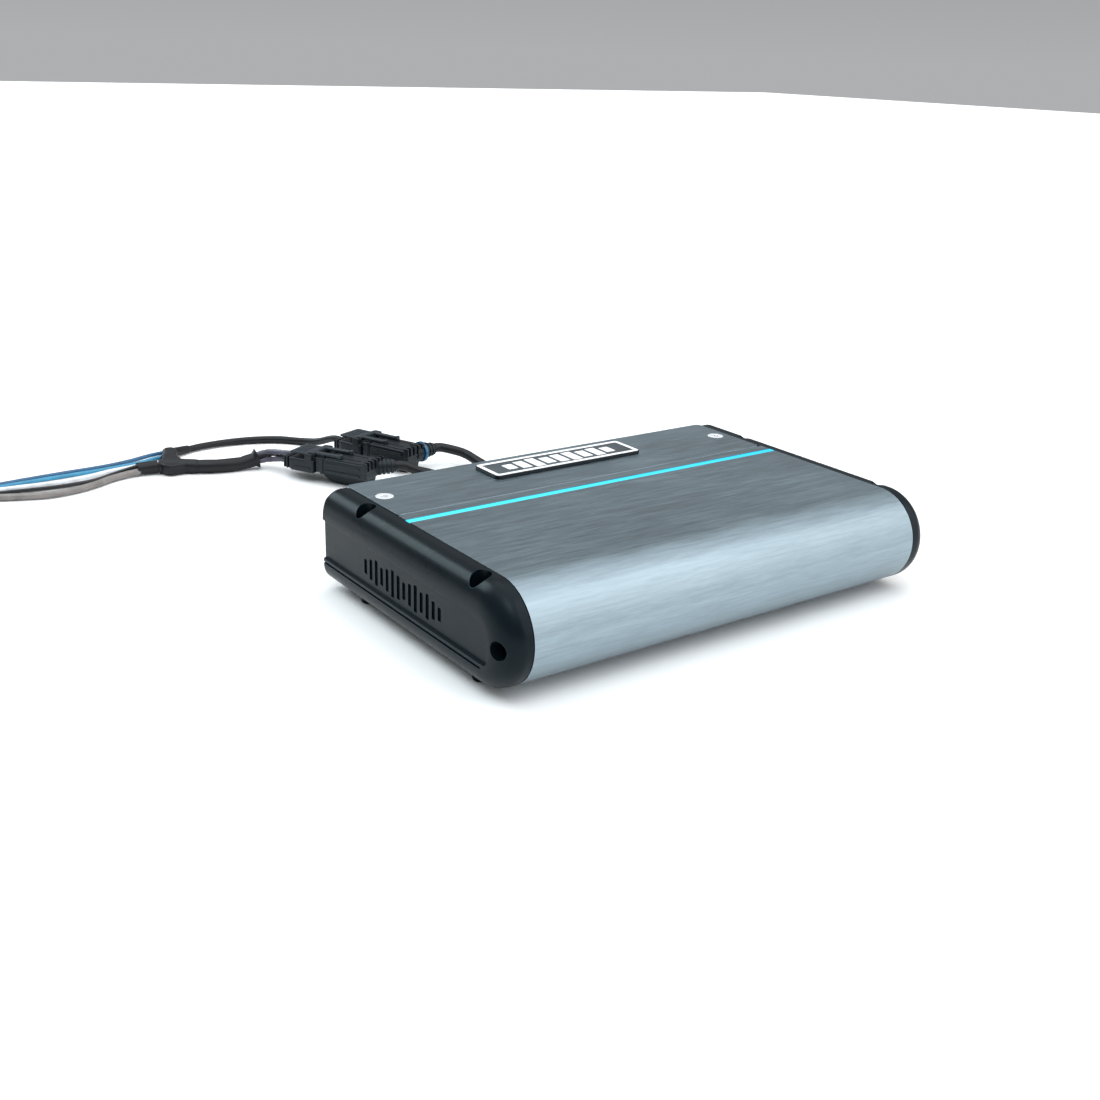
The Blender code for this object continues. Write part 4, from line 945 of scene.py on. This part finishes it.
WIRES = {
    # material, slot, diameter, coil radius, route up to the coil
    # The rear blue wire is drawn darker, as painted shade; the front one is drawn lighter, as painted
    # highlight.
    "blue_wire_rear": (BLUE, "blue_wire", 2.8, 55.4, [
        (-126.4, 358.0, 3.9), (-135.4, 359.4, 2.9), (-144, 359.3, 1.9), (-152, 357.5, 1.5),
        (-167, 354.2, 1.5), (-180, 353, 1.5), (-195, 352.5, 1.5), (-210, 351.5, 1.5), (-228, 350, 1.5),
        (-250, 347.5, 1.5), (-272, 345.8, 1.5), (-304, 345.2, 1.7)]),
    "blue_wire_front": (BLUE_LIT_COPY, "blue_wire", 2.8, 52.3, [
        (-131.5, 348.2, 4.0), (-139.0, 349.0, 3.0), (-146, 349.0, 2.0), (-155, 348.6, 1.5),
        (-168, 347.4, 1.5), (-180, 346.3, 1.5), (-195, 345.8, 1.5), (-210, 345.3, 1.5), (-228, 344.2, 1.5),
        (-250, 342.8, 1.5), (-272, 341.9, 1.5), (-302, 342.0, 1.7)]),
    "white_wire": (WHITE, "white_wire", 3.6, 48.8, [
        (-156.0, 330.6, 5.4), (-165, 335.5, 3.4), (-174, 337.4, 2.3), (-184, 335.4, 1.9), (-197, 333.4, 1.9),
        (-213, 332.6, 1.9), (-230, 334, 1.9), (-250, 336, 1.9), (-272, 337.5, 1.9), (-300, 338.4, 2.1)]),
    "black_wire": (BLACK_WIRE, "black_wire", 2.6, 45.4, [
        (-156.0, 328.2, 6.6), (-165, 330, 4.2), (-174, 330.8, 2.3), (-186, 327.3, 1.4), (-200, 325.8, 1.4),
        (-215, 326.2, 1.4), (-230, 328.6, 1.4), (-250, 331.6, 1.4), (-272, 333.8, 1.4), (-298, 335.0, 1.6)]),
    "grey_wire": (TAUPE, "grey_wire", 4.4, 41.6, [
        (-156.0, 326.4, 3.3), (-166, 325.8, 2.6), (-177, 322.5, 2.3), (-189, 316, 2.3), (-204, 311, 2.3),
        (-220, 310, 2.3), (-235, 314.5, 2.3), (-250, 320.8, 2.3), (-268, 327, 2.3), (-296, 331.0, 2.5)]),
}
COIL_LIFT = 0.9         # the ties pass under the turns
COIL_TURNS = 1.93


def coil_route(radius, diameter):
    """Two turns: the first on the ties, the second rising on to it before it would meet its start."""
    points = []
    steps = round(COIL_TURNS * 28)
    for k in range(steps + 1):
        turned_by = 360 * COIL_TURNS * k / steps
        rise = min(1.0, max(0.0, (turned_by - 285) / 65))
        rise = rise * rise * (3 - 2 * rise)
        settle = min(1.0, turned_by / 40)
        height = diameter / 2 + 0.15 + COIL_LIFT * settle + rise * (diameter + 0.1)
        angle = math.radians(90 + turned_by)
        points.append(COIL_CENTRE + Vector((radius * math.cos(angle), radius * math.sin(angle), height)))
    return points


def wires():
    for name, (material, slot, diameter, radius, route) in WIRES.items():
        whole = route + coil_route(radius, diameter)
        wire = strand(f"{name}_insulation", whole, diameter, material, sides=6, spacing=3.0)
        last, before = whole[-1], whole[-2]
        tip = moved(turned([(0, -1.0), (diameter * 0.27, -1.0), (diameter * 0.30, 0), (diameter * 0.29, 6.0),
                            (diameter * 0.2, 6.8), (0, 7.0)], (0, 0, 0), steps=16),
                    Matrix.Translation(last) @ aimed((last - before).normalized()))
        end = piece(f"{name}_bare_end", tip, COPPER)
        declare_cord([name, "wire_coil"])


def coil_ties():
    """Cable ties round the coiled wires, each with its lock head."""
    inner, outer, high, thick, width = 38.2, 57.6, 9.7, 0.8, 2.4
    for k, angle in enumerate((120, 215, 330)):
        opening = block((inner + thick, -width, 0.03 + thick), (outer - thick, width, high - thick), 0.8)
        band = combined(block((inner, -width / 2, 0.03), (outer, width / 2, high), 0.3), [opening])
        lock = block((outer - 6.0, -2.2, high - 0.6), (outer - 2.2, 2.2, high + 1.6), 0.4)
        place = Matrix.Translation(COIL_CENTRE) @ Matrix.Rotation(math.radians(angle), 4, "Z")
        piece(f"cable_tie_{k + 1}", moved(merged(band, lock), place), TIE)


# ---------------------------------------------------------------- the frame's own pieces
def dress_frame():
    """Materials for the CAD nodes that are shown as they are."""
    looks = {
        "base_plate": BASE_PAINT, "cover_gasket": RUBBER, "led_board": BOARD, "control_board": BOARD,
        "main_board": BOARD, "control_well": BLACK_PLASTIC, "power_transformer_left": WINDING,
        "power_transformer_right": WINDING, "output_inductor": WINDING, "filter_capacitor_left": SLEEVE,
        "filter_capacitor_right": SLEEVE, "transistor_clamp": ZINC,
    }
    looks |= {f"power_transistor_{k}": BLACK_PLASTIC for k in (1, 2, 3)}
    looks |= {f"{w}_{s}_base_screw": ZINC for w in ("front", "rear") for s in ("left", "right")}
    for node, material in looks.items():
        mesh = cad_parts[node].data
        mesh.materials.clear()
        mesh.materials.append(material)


# ---------------------------------------------------------------- stage
def camera():
    yaw, elevation, roll = math.radians(-36.589), math.radians(20.827), math.radians(2.031)
    data = bpy.data.cameras.new("camera")
    data.sensor_width = 36.0
    data.lens = 42.97
    data.clip_start, data.clip_end = 0.01, 60.0
    obj = linked("camera", data)
    turn = (Matrix.Rotation(yaw, 4, "Z") @ Matrix.Rotation(math.pi / 2 - elevation, 4, "X")
            @ Matrix.Rotation(roll, 4, "Z"))
    obj.matrix_world = Matrix.Translation((-0.4329, -0.5104, 0.2757)) @ turn
    bpy.context.scene.camera = obj


# the studio's brightness by height: pale at the floor line, greyer walls, a bright ceiling
SKY = ((0.0, 0.20), (0.14, 0.14), (0.26, 0.13), (0.62, 0.20), (0.84, 0.95), (1.0, 1.0))
SKY_STRENGTH = 2.15


def soft_disc(name, direction, width, strength, colour=(1.0, 1.0, 1.0)):
    """A round soft box, width degrees across, far enough away to light the floor evenly."""
    data = bpy.data.lights.new(name, "SUN")
    data.color = colour
    data.angle = math.radians(width)
    data.energy = strength
    obj = linked(name, data)
    obj.rotation_euler = Vector(direction).to_track_quat("Z", "Y").to_euler()
    obj.location = Vector(direction)


def stage():
    bpy.ops.mesh.primitive_plane_add(size=16.0, location=(0, 0, -0.0002))
    floor = bpy.context.object
    floor.name = "floor"
    floor.data.materials.append(floor_material())
    world = bpy.data.worlds.new("studio")
    bpy.context.scene.world = world
    world.use_nodes = True
    tree = world.node_tree
    direction = add_node(tree, "ShaderNodeTexCoord").outputs["Generated"]
    up = add_node(tree, "ShaderNodeSeparateXYZ", Vector=direction)
    sky = add_node(tree, "ShaderNodeValToRGB", Fac=up.outputs["Z"])
    for place, _ in SKY[1:-1]:
        sky.color_ramp.elements.new(place)
    for stop, (place, level) in zip(sky.color_ramp.elements, SKY):
        stop.position = place
        stop.color = (level * 0.98, level, level * 1.02, 1.0)
    tree.links.new(sky.outputs["Color"], tree.nodes["Background"].inputs["Color"])
    tree.nodes["Background"].inputs["Strength"].default_value = SKY_STRENGTH
    soft_disc("front_right_box", (0.55, -0.60, 0.50), 60, 1.45)
    soft_disc("back_left_box", (-0.34, 0.75, 0.54), 28, 1.05, COOL)
    soft_disc("top_left_box", (-0.40, -0.30, 0.87), 26, 0.50, COOL)
    bpy.context.scene.view_settings.view_transform = "Standard"


camera()
pigtails({label: [make(label) for make in (gland, header, plug, latch)] for label in CONNECTORS})
leads_and_looms()
wires()
coil_ties()
case_shell()
for label, sign in (("left", -1), ("right", 1)):
    end_cap(sign, f"{label}_end_cap")
    axis = "X" if sign > 0 else "-X"
    socket_screw(f"{label}_cap_screw", (sign * CAP_SCREW_X, SCREW_Y, SCREW_Z), axis, 4.0, 3.0, 2.0,
                 DARK_STEEL, "chassis", False)
    socket_screw(f"{label}_cover_screw", (sign * COVER_SCREW[0], COVER_SCREW[1], TOP), "Z", 4.8, 2.3, 2.1,
                 CHROME, f"{label}_cover_screw", True)
    for where in ("front", "rear"):
        foot(f"{where}_{label}_foot")
light_strip()
access_cover()
badge()
for label in KNOBS:
    knob(label)
for label in SWITCHES:
    switch(label)
dial_marks()
dress_frame()
stage()
